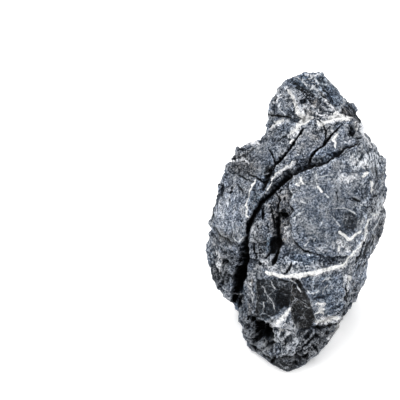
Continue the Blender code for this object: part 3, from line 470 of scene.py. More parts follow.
# Thin pale threads as points on the front: across, up, half width
THREADS = {
    "above_vein": [(-5.5, 39, 0.5), (1.7, 41, 0.4), (7.4, 41.4, 0.4)],
    "face_star": [(10.6, 104.3, 0.4), (11.1, 100.3, 0.5), (10.2, 98.5, 0.5), (6.6, 97.6, 0.35)],
    "face_star_right": [(11.1, 99.8, 0.4), (16.5, 101.4, 0.35), (22.8, 102, 0.3)],
    "face_star_foot": [(10.2, 98.5, 0.35), (11.5, 95.3, 0.3)],
    "face_dash_low": [(16.5, 89.6, 0.45), (18.6, 86.6, 0.4)],
    "face_upper": [(-4.3, 85.4, 0.35), (-0.2, 84.5, 0.35), (3.9, 83.2, 0.4)],
    "face_hook_left": [(-3.8, 73.4, 0.5), (-1.6, 76, 0.4), (3, 77.8, 0.3)],
    "face_arc": [(21, 74.6, 0.3), (23.7, 71.5, 0.35), (26.4, 67.9, 0.3)],
    "face_tick": [(15.1, 71.5, 0.35), (13.8, 68.8, 0.35)],
    "oval_top": [(22.8, 79.6, 0.3), (29.5, 80, 0.35), (32.7, 78.7, 0.4), (37.5, 75.5, 0.35)],
    "oval_side": [(38, 69.2, 0.45), (39, 71.8, 0.45)],
    "face_foot_spot": [(3, 55.3, 0.55), (6.1, 57.6, 0.45)],
    "face_foot_tick": [(9.3, 58, 0.3), (10.2, 60.2, 0.35)],
    "face_loop": [(39.4, 79.6, 0.4), (39.9, 81.8, 0.45), (43.5, 81.8, 0.4)],
    "flank_streak": [(46.6, 71.5, 0.7), (54.3, 78.2, 0.8), (56.1, 83.6, 0.6)],
    "flank_streak_low": [(49.3, 64.7, 0.4), (52.5, 70.1, 0.5), (56.5, 73.7, 0.4)],
    "wedge_thread": [(-6.5, 32.9, 0.45), (-3.4, 29.8, 0.45), (-0.9, 26.7, 0.45), (1.2, 24.1, 0.3)],
    "wedge_star": [(3.5, 14, 0.3), (5.2, 12.6, 0.4), (7.5, 13, 0.3)],
    "plate_hook": [(4.8, 24.8, 0.4), (7.4, 22.6, 0.6), (9.9, 23.1, 0.6), (13, 24.8, 0.4)],
    "plate_line": [(19.2, 28.9, 0.35), (16.6, 25.7, 0.45), (15.6, 22.1, 0.35)],
    "plate_top": [(15.1, 30.8, 0.6), (17.1, 32.3, 0.8), (20.2, 33.9, 0.5)],
    "plate_arc": [(29.5, 37, 0.4), (29.8, 31, 0.5), (28, 27, 0.4)],
    "facet_thread": [(-19.4, 31.3, 0.3), (-17.8, 27.7, 0.35), (-16.3, 25.2, 0.3)],
    "facet_long": [
        (-24.5, 27.7, 0.3), (-22.5, 23.6, 0.35), (-19.4, 19, 0.4), (-17.3, 15.9, 0.4), (-16.3, 11.8, 0.35),
    ],
    "facet_cream": [(-31.7, 30.3, 0.4), (-31.7, 26.2, 0.35), (-30.7, 21, 0.4), (-30.7, 15.9, 0.3)],
    "facet_tick": [(-27.6, 21.5, 0.35), (-27.2, 19, 0.35)],
    "facet_dash": [(-23.5, 16.9, 0.35), (-23.2, 12.8, 0.35)],
    "foot_hook": [(-22.5, -11.9, 0.4), (-19.4, -13.9, 0.45), (-18.9, -16, 0.4)],
    "cap_cross": [(5.3, 157.8, 0.35), (11.2, 162.5, 0.4)],
    "cap_diagonal": [(4.4, 163.2, 0.4), (9.8, 158.7, 0.35), (17, 152.4, 0.4), (20.5, 148, 0.35)],
    "crown_left": [(-2, 168, 0.3), (3, 164, 0.4), (7, 158.5, 0.3)],
    "crown_right": [(9, 169, 0.3), (12.5, 163, 0.35), (19, 157.5, 0.3)],
    "crown_across": [(1, 166, 0.3), (8, 166.5, 0.35), (15, 164.5, 0.3)],
    "cap_edge": [(28.3, 145.2, 0.5), (29.2, 148.8, 0.5), (31.9, 150.6, 0.6), (30.5, 154.7, 0.5)],
    "cap_left_line": [(-13.6, 146.1, 0.3), (-8.2, 141.2, 0.35)],
    "cap_left_tick": [(-14, 147.5, 0.4), (-11.8, 151, 0.5)],
    "slab_tick": [(-3.3, 115, 0.4), (-0.6, 115.5, 0.45)],
    "wall_tick": [(14.3, 111.9, 0.3), (16.6, 115, 0.3)],
    "thumb_hook": [(-43.6, 60, 0.5), (-40.2, 57.2, 0.6), (-37.6, 60.4, 0.4)],
    "thumb_rim": [(-55.6, 86.5, 0.4), (-57, 79.5, 0.5), (-57.6, 72, 0.4), (-58.4, 64, 0.4)],
}

# Soft patches of tone, partly painted: across, up, half width, half height, lightness, warmth, bleaching
PATCHES = {
    # Painted shade on toe, rim, foot_left, foot_low, thumb_low, gap_side and crack_pool, which face down or
    # lie deep.
    "face_haze": (30, 98.5, 13, 5.5, 1.15, 0, 0.45), "face_haze_top": (37, 111, 10, 6, 1.3, 0, 0.5),
    # Painted light, in part, on the face's top and the thumb's face, which face up.
    "face_top": (15, 104, 13, 5, 1.4, 0.2, 0.3), "face_left": (0, 92, 6, 7, 1.5, 0.3, 0.35),
    "face_low": (12, 60, 12, 7, 0.8, -0.1, 0.1), "shoulder": (49, 112, 9, 8, 1.4, 0, 0.6),
    "oval": (33, 70.3, 6.2, 7.6, 0.4, -0.2, 0), "slabs": (10, 122, 20, 10, 1.05, 0.35, 0.1),
    "slab_end": (33, 124, 8, 7, 1.35, 0.2, 0.15), "slab_foot": (18, 115, 9, 4.5, 1.3, -0.3, 0.1),
    "cap_right": (21, 156, 12, 8, 0.9, -0.4, 0.2), "crown": (6, 165, 11, 7, 0.5, -0.6, 0.15),
    "cap_left": (-10, 147.5, 7, 6, 0.75, 0, 0.25), "cap_mid": (9, 146, 9, 7, 0.8, 0.5, 0.2),
    "cap_brown": (10, 149, 3, 4, 0.6, 1.0, 0.1), "cap_foot": (-12, 130, 7, 6, 0.6, -0.1, 0.2),
    "nape": (45, 131, 5, 9, 1.2, 0, 0.6), "strip": (-13, 73, 8, 18, 0.85, 0.8, 0.1),
    "strip_blue": (-21, 56, 4.5, 7, 0.5, -0.9, 0.05), "strip_mid": (-25, 65, 5, 8, 1.0, 0.2, 0.12),
    "strip_low": (-27, 46, 8, 8, 0.55, 0, 0.35),
    "shelf": (3, 45.5, 9, 3.4, 3.4, -0.1, 0.35), "thumb_face": (-47, 75, 9, 14, 2.0, 0.1, 0.38),
    "thumb_face_low": (-50, 59, 9, 5, 0.4, 0.1, 0.22), "thumb_low": (-53, 37, 9, 13, 0.08, -0.4, 0.25),
    "thumb_side": (-29, 84, 4.5, 10, 0.48, -0.6, 0), "arm": (-37, 110, 11, 9, 0.55, 0.4, 0.12),
    "crack_pool": (-20.3, 104, 4.5, 7, 0.0, -0.8, 0), "chunk": (-2, -9, 14, 8, 0.68, 0.1, 0.38),
    "toe": (-9, -26, 16, 7, 0.04, -0.2, 0.16), "rim": (18, -9, 12, 7, 0.13, 0, 0.24),
    "foot_left": (-32, -4, 8, 12, 0.28, -0.3, 0.24), "gap_side": (-39, 19, 4.5, 11, 0.15, -0.9, 0.05),
    "foot_low": (-26, -16, 8, 5, 0.2, -0.3, 0.3), "chunk_side": (-17, -9, 4, 6, 0.6, 0, 0.45),
    "toe_right": (6, -20, 8, 5, 0.35, 0, 0.25), "under_face": (7, 50, 13, 1.5, 0.6, -0.2, 0.1),
    "flank": (43, 42, 8, 14, 2.2, 0.1, 0.3), "flank_mid": (50, 60, 7, 9, 1.15, 0.2, 0.35),
    "flank_high": (53, 80, 7, 12, 0.95, 0, 0.45), "flank_dark": (54.5, 65, 4, 8, 0.42, 0.4, 0.1),
}

# Facets of one tone, as convex outlines on the front; then lightness, warmth, bleaching
TONED_FACETS = {
    # The dark facet, dark spot and wedge: darker rock, and partly painted shade where they face down.
    "dark_facet": (
        [(-28.5, 32.5), (-7, 33.5), (-4.5, 21), (-6, 12), (-13.7, 8), (-19, 1), (-29, 7.5), (-30, 24)],
        0.085, -0.8, 0.02),
    "dark_spot": ([(-15, 25), (-8, 29), (-5.5, 24), (-6, 12), (-11, 13), (-14, 18)], 0.045, -0.9, 0.0),
    "oval": (
        [(29.5, 78), (35.4, 77.8), (39, 74.1), (38.8, 67.4), (34.3, 64), (28, 66.5), (27.5, 71)],
        0.24, -0.2, 0.0),
    "cheek": (
        [(30, 149.6), (35.6, 148.8), (39.8, 141.2), (41.5, 136.2), (37.3, 134.5), (33.1, 138.7),
         (29.7, 144.6)],
        0.42, 0.5, 0.05),
    "facet_side": ([(-34, 33), (-30, 33), (-28.8, 10), (-34, 9)], 0.7, 0.7, 0.1),
    "wedge": ([(-7, 33.5), (-0.4, 32.5), (6.8, 19), (11.5, 4.6), (7, -3), (-3.4, -1), (-6.5, 10)],
              0.07, 0.9, 0.0),
    "plate": ([(-0.4, 33), (22, 37), (28, 33), (28, 14), (24, 6.5), (12, 5.5), (7, 19)], 0.88, -0.3, 0.2),
    "plate_right": ([(21, 33), (28, 33), (31, 12), (24, 9)], 1.2, -0.2, 0.3),
    "plate_foot": ([(12, 2), (27, 3.5), (23, -5), (8, -4)], 0.42, 0.1, 0.1),
}


def to_frame(points):
    """From across, up and out of the leaning front to x, y and z: a turn about the x axis."""
    across, up, out = np.asarray(points, float).T
    lean, rise = math.sin(FRONT_LEAN), math.cos(FRONT_LEAN)
    return np.stack([across, up * lean - out * rise, up * rise + out * lean], 1)


def to_front(points):
    """The turn of to_frame, undone."""
    x, y, z = points.T
    lean, rise = math.sin(FRONT_LEAN), math.cos(FRONT_LEAN)
    return np.stack([x, y * lean + z * rise, z * lean - y * rise], 1)


def unit(vectors):
    return vectors / np.linalg.norm(vectors, axis=-1, keepdims=True)


def smooth(low, high, value):
    """0 below low, 1 above high, and an S-shaped rise between them."""
    t = np.clip((value - low) / (high - low), 0, 1)
    return t * t * (3 - 2 * t)


def hashed(cell, seed):
    """A mixed whole number for each cell of a lattice."""
    x, y, z = (cell[..., axis].astype(np.uint32) for axis in range(3))
    mixed = x * np.uint32(374761393) + y * np.uint32(668265263) + z * np.uint32(1133479743)
    mixed = mixed + np.uint32(seed * 2971215073 & 0xFFFFFFFF)
    mixed = (mixed ^ (mixed >> np.uint32(13))) * np.uint32(1274126177)
    mixed = (mixed ^ (mixed >> np.uint32(16))) * np.uint32(2246822519)
    return mixed ^ (mixed >> np.uint32(15))


def noise(points, seed):
    """Gradient noise of about -1 to 1: the slopes held at a lattice's corners, blended smoothly."""
    cell = np.floor(points)
    inside = points - cell
    cell = cell.astype(np.int64)
    ease = inside**3 * (inside * (inside * 6 - 15) + 10)
    total = np.zeros(len(points))
    for corner in np.ndindex(2, 2, 2):
        mixed = hashed(cell + corner, seed)
        slope = np.stack([(mixed >> bit & 255) / 127.5 - 1 for bit in (0, 8, 16)], 1)
        weight = np.prod(np.where(corner, ease, 1 - ease), axis=1)
        total += weight * np.einsum("ij,ij->i", slope, inside - corner)
    return total * 1.2


def fractal(points, octaves, seed):
    """Octaves of noise, each half as large and about half as high as the last."""
    return sum(0.5**step * noise(points * 2.03**step, seed + step) for step in range(octaves))


def ridged(points, octaves, seed):
    """As fractal, but folded at zero, so that it has sharp crests."""
    return sum(
        0.55**step * (1 - 2.4 * np.abs(noise(points * 2.03**step, seed + step))) for step in range(octaves)
    )


def chips(points, seed):
    """Small tilted flats: a random spot in each cell of a lattice carries a plane of random slope.

    Each point takes the plane of its nearest spot, so that the flats meet in sharp little steps. The
    second value is how much nearer that spot is than the next one: 0 on the joint between two flats.
    """
    cell = np.floor(points)
    inside = points - cell
    cell = cell.astype(np.int64)
    nearest, second = np.full(len(points), 9.0), np.full(len(points), 9.0)
    height = np.zeros(len(points))
    for step in np.ndindex(3, 3, 3):
        offset = np.array(step) - 1
        mixed = hashed(cell + offset, seed)
        spot = np.stack([(mixed >> bit & 1023) / 1023 for bit in (0, 10, 20)], 1)
        slope = np.stack([(mixed >> bit & 255) / 127.5 - 1 for bit in (4, 12, 21)], 1)
        apart = inside - offset - spot
        distance = np.linalg.norm(apart, axis=1)
        height = np.where(distance < nearest, (apart * slope).sum(1), height)
        second = np.minimum(second, np.maximum(nearest, distance))
        nearest = np.minimum(nearest, distance)
    return height, second - nearest


def cage():
    """Facets between the landmarks, as they are seen from the core.

    The convex hull of the landmarks' directions says which three span each facet. Each facet is kept
    as the inverse of its corners, which turns a direction into its share of each corner.
    """
    drawn = to_frame([*OUTLINE.values(), *FRONT.values(), *BACK.values()])
    drawn[:, 2] = np.maximum(drawn[:, 2], 0)
    bed = [(x, y, 0) for x, y in BED.values()]
    corners = np.vstack([drawn, bed]) - CORE
    hull = bmesh.new()
    for direction in unit(corners):
        hull.verts.new(direction)
    hull.verts.index_update()
    bmesh.ops.convex_hull(hull, input=hull.verts)
    bmesh.ops.triangulate(hull, faces=hull.faces)
    facets = np.array([[vertex.index for vertex in face.verts] for face in hull.faces])
    hull.free()
    return np.linalg.inv(np.swapaxes(corners[facets], 1, 2))


def reach(directions, facets):
    """How far out the cage lies in each direction: one over the sum of its facet's shares."""
    distance = np.empty(len(directions))
    flat = facets.reshape(-1, 3).T.astype(np.float32)
    batch = 8192
    for start in range(0, len(directions), batch):
        some = directions[start:start + batch].astype(np.float32)
        shares = (some @ flat).reshape(len(some), -1, 3)
        own = shares.min(axis=2).argmax(axis=1)
        distance[start:start + batch] = 1 / shares[np.arange(len(some)), own].sum(1)
    return distance


def body(directions):
    """The cage's reach in each direction, averaged over a small ring round it, which wears the edges.

    The directions are bent a little by noise first, so that the facets' edges aren't ruled lines.
    """
    facets = cage()
    bend = np.stack([fractal(directions * 3.1, 3, seed) for seed in (11, 23, 37)], 1)
    bent = unit(directions + FACET_BEND * bend)
    side = unit(np.cross(bent, (0.3, 0.5, 0.8)))
    other = np.cross(bent, side)
    ring = [(math.cos(turn), math.sin(turn)) for turn in np.linspace(0, math.tau, 5)[:-1]]
    distance = 2 * reach(bent, facets)
    for right, up in ring:
        distance += reach(unit(bent + EDGE_WEAR * (right * side + up * other)), facets)
    return CORE + (distance / (2 + len(ring)))[:, None] * directions


def outward(points, quads):
    """Each vertex's normal: the sum of the area vectors of its faces, made a unit long."""
    first, second, third, fourth = (points[quads[:, corner]] for corner in range(4))
    area = np.cross(third - first, fourth - second)
    total = np.zeros_like(points)
    for corner in range(4):
        for axis in range(3):
            total[:, axis] += np.bincount(quads[:, corner], area[:, axis], len(points))
    return unit(total)


def hollow(points, quads, rounds):
    """How far each vertex lies below the surface averaged round it: under 0 on a crest.

    The average is taken again and again over each vertex's neighbours, so more rounds reach wider.
    """
    soft = points
    shared = np.bincount(quads.ravel(), minlength=len(points)) * 2.0
    for _ in range(rounds):
        total = np.zeros_like(points)
        for corner in range(4):
            beside = soft[quads[:, (corner + 1) % 4]] + soft[quads[:, corner - 1]]
            for axis in range(3):
                total[:, axis] += np.bincount(quads[:, corner], beside[:, axis], len(points))
        soft = total / shared[:, None]
    return ((soft - points) * outward(soft, quads)).sum(1)


def along(places, line):
    """For each place, its distance from a broken line, the side it is on, and the line's values there.

    The last value returned is how far past the line's ends the place lies.
    """
    line = np.asarray(line, float)
    start, run = line[:-1, :2], np.diff(line[:, :2], axis=0)
    offset = places[:, None] - start
    length = (run**2).sum(1)
    share = (offset * run).sum(2) / length
    part = np.clip(share, 0, 1)
    apart = offset - part[..., None] * run
    distance = np.hypot(apart[..., 0], apart[..., 1])
    own = distance.argmin(1)
    every = np.arange(len(places))
    beyond = np.maximum(-share[every, 0], share[every, -1] - 1)
    at_end = ((own == 0) & (share[every, 0] < 0)) | ((own == len(run) - 1) & (share[every, -1] > 1))
    reach_of = np.sqrt(length[own])
    part, distance = part[every, own, None], distance[every, own]
    left = run[own, 0] * offset[every, own, 1] > run[own, 1] * offset[every, own, 0]
    values = line[own, 2:] * (1 - part) + line[own + 1, 2:] * part
    return distance, left, values, np.where(at_end, beyond * reach_of, 0)


def raised(places):
    """Height of the lumps, which are bell-shaped, and of the ledges, which step at a line and fade."""
    step_width = 0.8
    height = np.zeros(len(places))
    for across, up, radius, rise in LUMPS.values():
        height += rise * np.exp(-1.2 * ((places - (across, up)) ** 2).sum(1) / radius**2)
    for line, rise, rise_fade, drop, drop_fade in LEDGES.values():
        distance, left, _, _ = along(places, line)
        step = np.clip(distance / step_width, 0, 1)
        above, below = rise * np.exp(-distance / rise_fade), -drop * np.exp(-distance / drop_fade)
        height += step * np.where(left, above, below)
    return height


def sunk(places, ragged):
    """Depth of the cracks, deepest on their line, and of the pits, which are bowls with steep walls.

    The ragged factor widens and narrows the cracks along their run.
    """
    narrowest = 0.9
    depth = np.zeros(len(places))
    for line in CRACKS.values():
        distance, left, values, _ = along(places, line)
        width = np.where(left, values[:, 0], values[:, 1]) * ragged
        wall = np.clip(1.25 - 1.25 * distance / np.maximum(width, narrowest), 0, 1)
        depth = np.maximum(depth, values[:, 2] * ragged * wall**1.1)
    for across, up, half_length, half_width, turn, bottom in PITS.values():
        lean, rise = math.sin(math.radians(turn)), math.cos(math.radians(turn))
        right, over = (places - (across, up)).T
        long = (right * lean + over * rise) / half_length
        wide = (right * rise - over * lean) / half_width
        depth = np.maximum(depth, bottom * np.clip(1.25 * (1 - long**2 - wide**2), 0, 1) ** 0.8)
    return depth


def craggy(places, facing, points):
    """How rough the stone is: the patches of crags, and the back in calm and rough stretches.

    A patch falls off as exp(-d**3) from its middle, and the roughest of those that meet counts.
    """
    calmest = 0.3
    strength = np.full(len(places), calmest)
    for across, up, radius, most in CRAGS.values():
        apart = ((places - (across, up)) ** 2).sum(1) / radius**2
        strength = np.maximum(strength, most * np.exp(-apart**1.5) * facing)
    back = calmest + 0.35 * smooth(-0.15, 0.35, fractal(points / 26, 2, 171))
    return np.maximum(strength, back * (1 - facing))


def polished(places):
    """How much of the fine grain is left: 1, and less on the smooth patches, by exp(-d**4)."""
    left = np.ones(len(places))
    for across, up, half_width, half_height, most in SMOOTH.values():
        apart = ((places - (across, up)) / (half_width, half_height)) ** 2
        left = np.minimum(left, 1 - most * np.exp(-apart.sum(1) ** 2))
    return left


def sphere(n):
    """Directions over the six n by n grids of a cube, stretched to the stone's girth.

    Each grid runs over two angles from -45 to 45 degrees; the six are sewn at their seams. The
    directions are crowded towards the front, where the detail is.
    """
    slope = np.tan(np.linspace(-math.pi / 4, math.pi / 4, n + 1))
    a, b = np.meshgrid(slope, slope, indexing="ij")
    one = np.ones_like(a)
    sides = [(one, a, b), (-one, b, a), (b, one, a), (a, -one, b), (a, b, one), (b, a, -one)]
    points = np.concatenate([np.stack(side, -1).reshape(-1, 3) for side in sides])
    row, column = np.meshgrid(np.arange(n), np.arange(n), indexing="ij")
    corner = (row * (n + 1) + column).ravel()
    quad = np.stack([corner, corner + n + 1, corner + n + 2, corner + 1], 1)
    quads = np.concatenate([quad + side * (n + 1) ** 2 for side in range(6)])
    _, first, index = np.unique(np.round(points, 6), axis=0, return_index=True, return_inverse=True)
    front = unit(to_frame([(0, 0, 1)]))
    return unit(unit(points[first] * GIRTH) + FRONT_CROWDING * front), index.reshape(-1)[quads]


def roughness(points, drift, facing, strength, grain):
    """The swell, the crags and the crests in millimetres, and how open the holes and rifts are.

    Chips and ridges of falling sizes are added up, each times its height. Round holes, the joints
    between chips, and rifts where a noise passes zero are taken away again where the stone is rough.
    """
    swell = SWELL_HEIGHT * (0.4 + strength) * fractal(points / SWELL_SIZE, 2, 5)
    broad, broad_joint = chips(points / CRAG_SIZE + 0.25 * drift[:, :1], 3)
    narrow, narrow_joint = chips(points / NARROW_SIZE + 0.25 * drift[:, 1:], 13)
    little, _ = chips(points / LITTLE_SIZE + 0.2 * drift[:, :1], 19)
    tiny, _ = chips(points / TINY_SIZE, 17)
    crags = RIDGE_HEIGHT * (ridged(points / CRAG_SIZE, 3, 41) - 0.8) + CRAG_HEIGHT * broad
    coarse = (0.4 + 0.6 * grain) * (strength + 0.25 * (1 - facing)) * crags

    furrows = FURROW_HEIGHT * (ridged(points / FURROW_SIZE, 2, 51) - 0.8)
    small = (0.55 + 0.45 * facing) * (NARROW_HEIGHT * narrow + LITTLE_HEIGHT * little + furrows)
    grit = GRIT_HEIGHT * fractal(points / GRIT_SIZE, 2, 61)
    fine = (0.3 + 0.7 * facing) * (TINY_HEIGHT * tiny + grit)

    dots = noise(points / HOLE_SIZE, 131) + 0.35 * noise(points / 1.6, 133)
    holes = smooth(0.28, 0.75, dots) * (0.4 + 0.6 * facing)
    joints = 1.3 * (1 - smooth(0.02, 0.14, broad_joint)) + 0.3 * (1 - smooth(0.02, 0.2, narrow_joint))
    bent = points / RIFT_SIZE + 0.2 * drift[:, :1]
    rifts = 1 - smooth(0.01, 0.13, np.abs(fractal(bent, 3, 151)))
    rough = smooth(0.35, 0.8, strength) * grain**2
    crest = grain * ((0.1 + strength) * small + (0.15 + 0.6 * strength) * fine)
    crest = crest - rough * (HOLE_DEPTH * holes + JOINT_DEPTH * joints + RIFT_DEPTH * rifts)
    return swell, coarse, crest, np.maximum(holes, 0.3 * rifts) * rough


def stone_surface(directions, quads):
    """The stone's surface in millimetres: the worn cage, raised, roughened, sunk and bedded flat.

    The stone is moved so that the middle of its box stands on the origin. With it comes what its lines
    and tones need at each vertex: its place on the front, drawn straight and close to the cracks' bent
    course, how far it faces the front, how craggy, grainy, deep sunk and open it is.
    """
    points = body(directions)
    normal = outward(points, quads)
    facing = smooth(0, 0.3, to_front(normal)[:, 2])
    drift = np.stack([fractal(points / DRIFT_SIZE, 3, seed) for seed in (71, 81)], 1)
    jitter = np.stack([fractal(points / JITTER_SIZE, 2, seed) for seed in (101, 103)], 1)
    drawn = to_front(points)[:, :2]
    loose = drawn + 1.2 * drift
    close = drawn + 0.55 * drift + 0.45 * jitter
    strength = craggy(loose, facing, points)
    grain = polished(loose)
    swell, coarse, crest, openness = roughness(points, drift, facing, strength, grain)
    height = raised(close) * facing + swell + coarse + crest
    height *= smooth(BED_HEIGHT, BED_FADE, points[:, 2])
    ragged = 1 + 0.35 * fractal(points / 6, 2, 91) + 0.2 * jitter[:, 0]
    depth = sunk(close + (0.2 + 0.9 * strength[:, None]) * jitter, ragged) * facing
    inward = unit(0.3 * normal + 0.7 * to_frame([(0, 0, 1)]))
    points = points + height[:, None] * normal - depth[:, None] * inward
    points[:, 2] = np.where(points[:, 2] < BED_HEIGHT, 0, points[:, 2])
    middle = (points.min(0) + points.max(0)) / 2
    off_centre = np.array([middle[0], middle[1], points[:, 2].min()])
    return SimpleNamespace(
        points=points - off_centre, off_centre=off_centre, drawn=drawn, close=close, facing=facing,
        strength=strength, grain=grain, depth=depth, openness=openness)


def traced(places, lines, facing, near=1.3):
    """A vector for each vertex that lets a material draw lines finer than the mesh.

    It holds the signed distance to a line, that line's half width, and how far the vertex faces the
    front. Of several lines, the one that it lies deepest in counts. The distance changes sign across a
    line, so that it is blended to zero exactly on it. Away from every line, past its ends and off the
    front, the half width is -1, which draws nothing.
    """
    margin, taper, far = 6, 1.5, 99.0
    least = np.full(len(places), far)
    signed, width = np.full(len(places), far), np.full(len(places), -1.0)
    for line in lines.values():
        low = np.min([point[:2] for point in line], 0) - margin
        high = np.max([point[:2] for point in line], 0) + margin
        some = np.flatnonzero(((places > low) & (places < high)).all(1))
        if len(some) == 0:
            continue
        distance, left, values, past = along(places[some], line)
        outside = distance - values[:, 0]
        closer = outside < least[some]
        half = np.where(distance < near + values[:, 0], values[:, 0] - taper * past, -1)
        own = some[closer]
        least[own] = outside[closer]
        signed[own] = np.where(left, distance, -distance)[closer]
        width[own] = half[closer]
    width = np.where(facing > 0.02, width, -1)
    return np.stack([np.clip(signed, -5, 5), width, facing], 1)


def toned(places, facing, strength):
    """Lightness, warmth and bleaching of each vertex from the patches and facets, partly painted shade and
    light.

    A patch's share falls off as exp(-d**4) from its middle, and a facet's rises over 1.2 mm inside its
    outline. Both are mixed in by their share, in turn, over a plain tone.
    """
    plain, back_tone, facet_fade = (1.0, 0.0, 0.12), (0.8, 0.1, 0.3), 1.2
    tone = np.tile(np.array(plain), (len(places), 1))
    tone[:, 2] += 0.25 * smooth(0.4, 1, strength)
    for across, up, half_width, half_height, *value in PATCHES.values():
        apart = ((places - (across, up)) / (half_width, half_height)) ** 2
        share = np.exp(-apart.sum(1) ** 2)[:, None]
        tone = tone * (1 - share) + share * value
    for outline, *value in TONED_FACETS.values():
        corners = np.array(outline, float)
        run = unit(np.roll(corners, -1, 0) - corners)
        offset = places[:, None] - corners
        inside = run[:, 1] * offset[..., 0] - run[:, 0] * offset[..., 1]
        share = smooth(0, facet_fade, np.maximum(inside, 0).min(1))[:, None]
        tone = tone * (1 - share) + share * value
    return tone * facing[:, None] + (1 - facing[:, None]) * back_tone


class Wire:
    """A shader socket: sums on it add Math nodes, and node adds a node of any other kind."""

    def __init__(self, tree, socket=None):
        self.tree, self.socket = tree, socket

    def node(self, kind, settings, sockets, output=0):
        made = self.tree.nodes.new(kind)
        stops = settings.pop("stops", None)
        for name, value in settings.items():
            setattr(made, name, value)
        if stops:
            ramp = made.color_ramp.elements
            while len(ramp) < len(stops):
                ramp.new(1)
            for element, (place, colour) in zip(ramp, stops):
                element.position, element.color = place, colour
        for name, value in sockets.items():
            if isinstance(value, Wire):
                self.tree.links.new(value.socket, made.inputs[name])
            else:
                made.inputs[name].default_value = value
        return Wire(self.tree, made.outputs[output])

    def sum(self, operation, first, second=0.0):
        return self.node("ShaderNodeMath", {"operation": operation}, {0: first, 1: second})

    def __add__(self, other):
        return self.sum("ADD", self, other)

    def __radd__(self, other):
        return self.sum("ADD", other, self)

    def __sub__(self, other):
        return self.sum("SUBTRACT", self, other)

    def __rsub__(self, other):
        return self.sum("SUBTRACT", other, self)

    def __mul__(self, other):
        return self.sum("MULTIPLY", self, other)

    def __rmul__(self, other):
        return self.sum("MULTIPLY", other, self)

    def __truediv__(self, other):
        return self.sum("DIVIDE", self, other)

    def __abs__(self):
        return self.sum("ABSOLUTE", self)

    def most(self, other):
        return self.sum("MAXIMUM", self, other)

    def rise(self, low, high, bottom=0.0, top=1.0):
        """bottom below low, top above high, and an S-shaped change between them."""
        return self.node("ShaderNodeMapRange", {"interpolation_type": "SMOOTHSTEP"},
                         {0: self, 1: low, 2: high, 3: bottom, 4: top})

    def mix(self, low, high):
        """The colour low where this is 0, and high where it is 1."""
        return self.node("ShaderNodeMix", {"data_type": "RGBA"}, {0: self, 6: low, 7: high}, output=2)

    def tinted(self, tint):
        """This colour times another one, channel by channel."""
        return self.node("ShaderNodeMix", {"data_type": "RGBA", "blend_type": "MULTIPLY"},
                         {0: 1.0, 6: self, 7: tint}, output=2)

    def times(self, factor):
        """This colour or vector, times a number."""
        return self.node("ShaderNodeVectorMath", {"operation": "SCALE"}, {0: self, "Scale": factor})

    def vector(self, operation, *others, output=0):
        """Vector Math on this vector and the others."""
        return self.node("ShaderNodeVectorMath", {"operation": operation},
                         dict(enumerate((self, *others))), output)

    def parts(self):
        """The three numbers of a vector."""
        split = self.node("ShaderNodeSeparateXYZ", {}, {0: self})
        return [Wire(self.tree, socket) for socket in split.socket.node.outputs]


def noisy(place, size, detail, rough):
    """Noise of 0 to 1 with grains of this size and, within them, finer ones."""
    return place.node("ShaderNodeTexNoise", {},
                      {"Vector": place, "Scale": 1 / size, "Detail": detail, "Roughness": rough})


def shifted(place, size, amount):
    """The place, pushed about by noise of this size."""
    wander = place.node("ShaderNodeTexNoise", {}, {"Vector": place, "Scale": 1 / size, "Detail": 2.0},
                        output=1)
    return wander.vector("SUBTRACT", (0.5, 0.5, 0.5)).vector("MULTIPLY_ADD", (amount, amount, amount), place)


def webbed(place, size):
    """Distance from the borders of random cells, in cell sizes."""
    return place.node("ShaderNodeTexVoronoi", {"feature": "DISTANCE_TO_EDGE"},
                      {"Vector": place, "Scale": 1 / size})


def shards(place, size):
    """A random tone for each of many little flats, and the height of each flat's tilted plane."""
    tone = place.node("ShaderNodeTexVoronoi", {"feature": "F1"}, {"Vector": place, "Scale": 1 / size},
                      output=1)
    spot = Wire(tone.tree, tone.socket.node.outputs["Position"])
    slope = tone.vector("SUBTRACT", (0.5, 0.5, 0.5))
    height = place.vector("SUBTRACT", spot).vector("DOT_PRODUCT", slope, output=1)
    return tone.parts()[0], height


def drawn_line(line, wobble, swelling, soft):
    """1 on a line that traced gives and 0 off it, with a wobbling course and a swelling width."""
    distance, width, _ = line
    inside = width * swelling - abs(distance + wobble)
    return inside.rise(-soft, soft) * width.rise(-0.2, 0.1)


def stone_patterns(start):
    """The place in millimetres, noises from coarse to fine, and what each vertex holds, as wires."""
    place = start.node("ShaderNodeTexCoord", {}, {}, output=3).times(1 / MM)
    held = SimpleNamespace(**{
        name: start.node("ShaderNodeAttribute", {"attribute_name": name}, {}, output=1).parts()
        for name in ("tone", "form", "relief", "cuts", "edges", "veins", "threads", "smears")})
    warped = shifted(place, 6.0, 3.0)
    noises = SimpleNamespace(
        mottle=noisy(warped, 9.0, 4.0, 0.6), blotch=noisy(warped, 3.2, 5.0, 0.75),
        break_up=noisy(place, 2.6, 2.0, 0.6), speckle=noisy(place, 1.8, 5.0, 0.85),
        grit=noisy(place, 1.05, 2.0, 0.8))
    noises.wobble = 1.8 * (noises.grit - 0.5) + 2.4 * (noises.blotch - 0.5)
    noises.swelling = noises.break_up.rise(0.36, 0.64, 0.35, 1.35)

    # Streaks that run down the flank, drawn out along their run, and how much a place is on the flank
    run = unit(to_frame([FLANK_RUN]))[0]
    along_run = place.vector("DOT_PRODUCT", tuple(run), output=1)
    drawn_out = start.node("ShaderNodeVectorMath", {"operation": "SCALE"},
                           {0: tuple(0.9 * run), "Scale": along_run})
    noises.streaks = noisy(shifted(place, 5.0, 2.0).vector("SUBTRACT", drawn_out), 2.0, 2.0, 0.7) - 0.5
    noises.flank = place.parts()[0].rise(38, 46) * held.veins[2].rise(0.0, 0.3)
    return place, noises, held


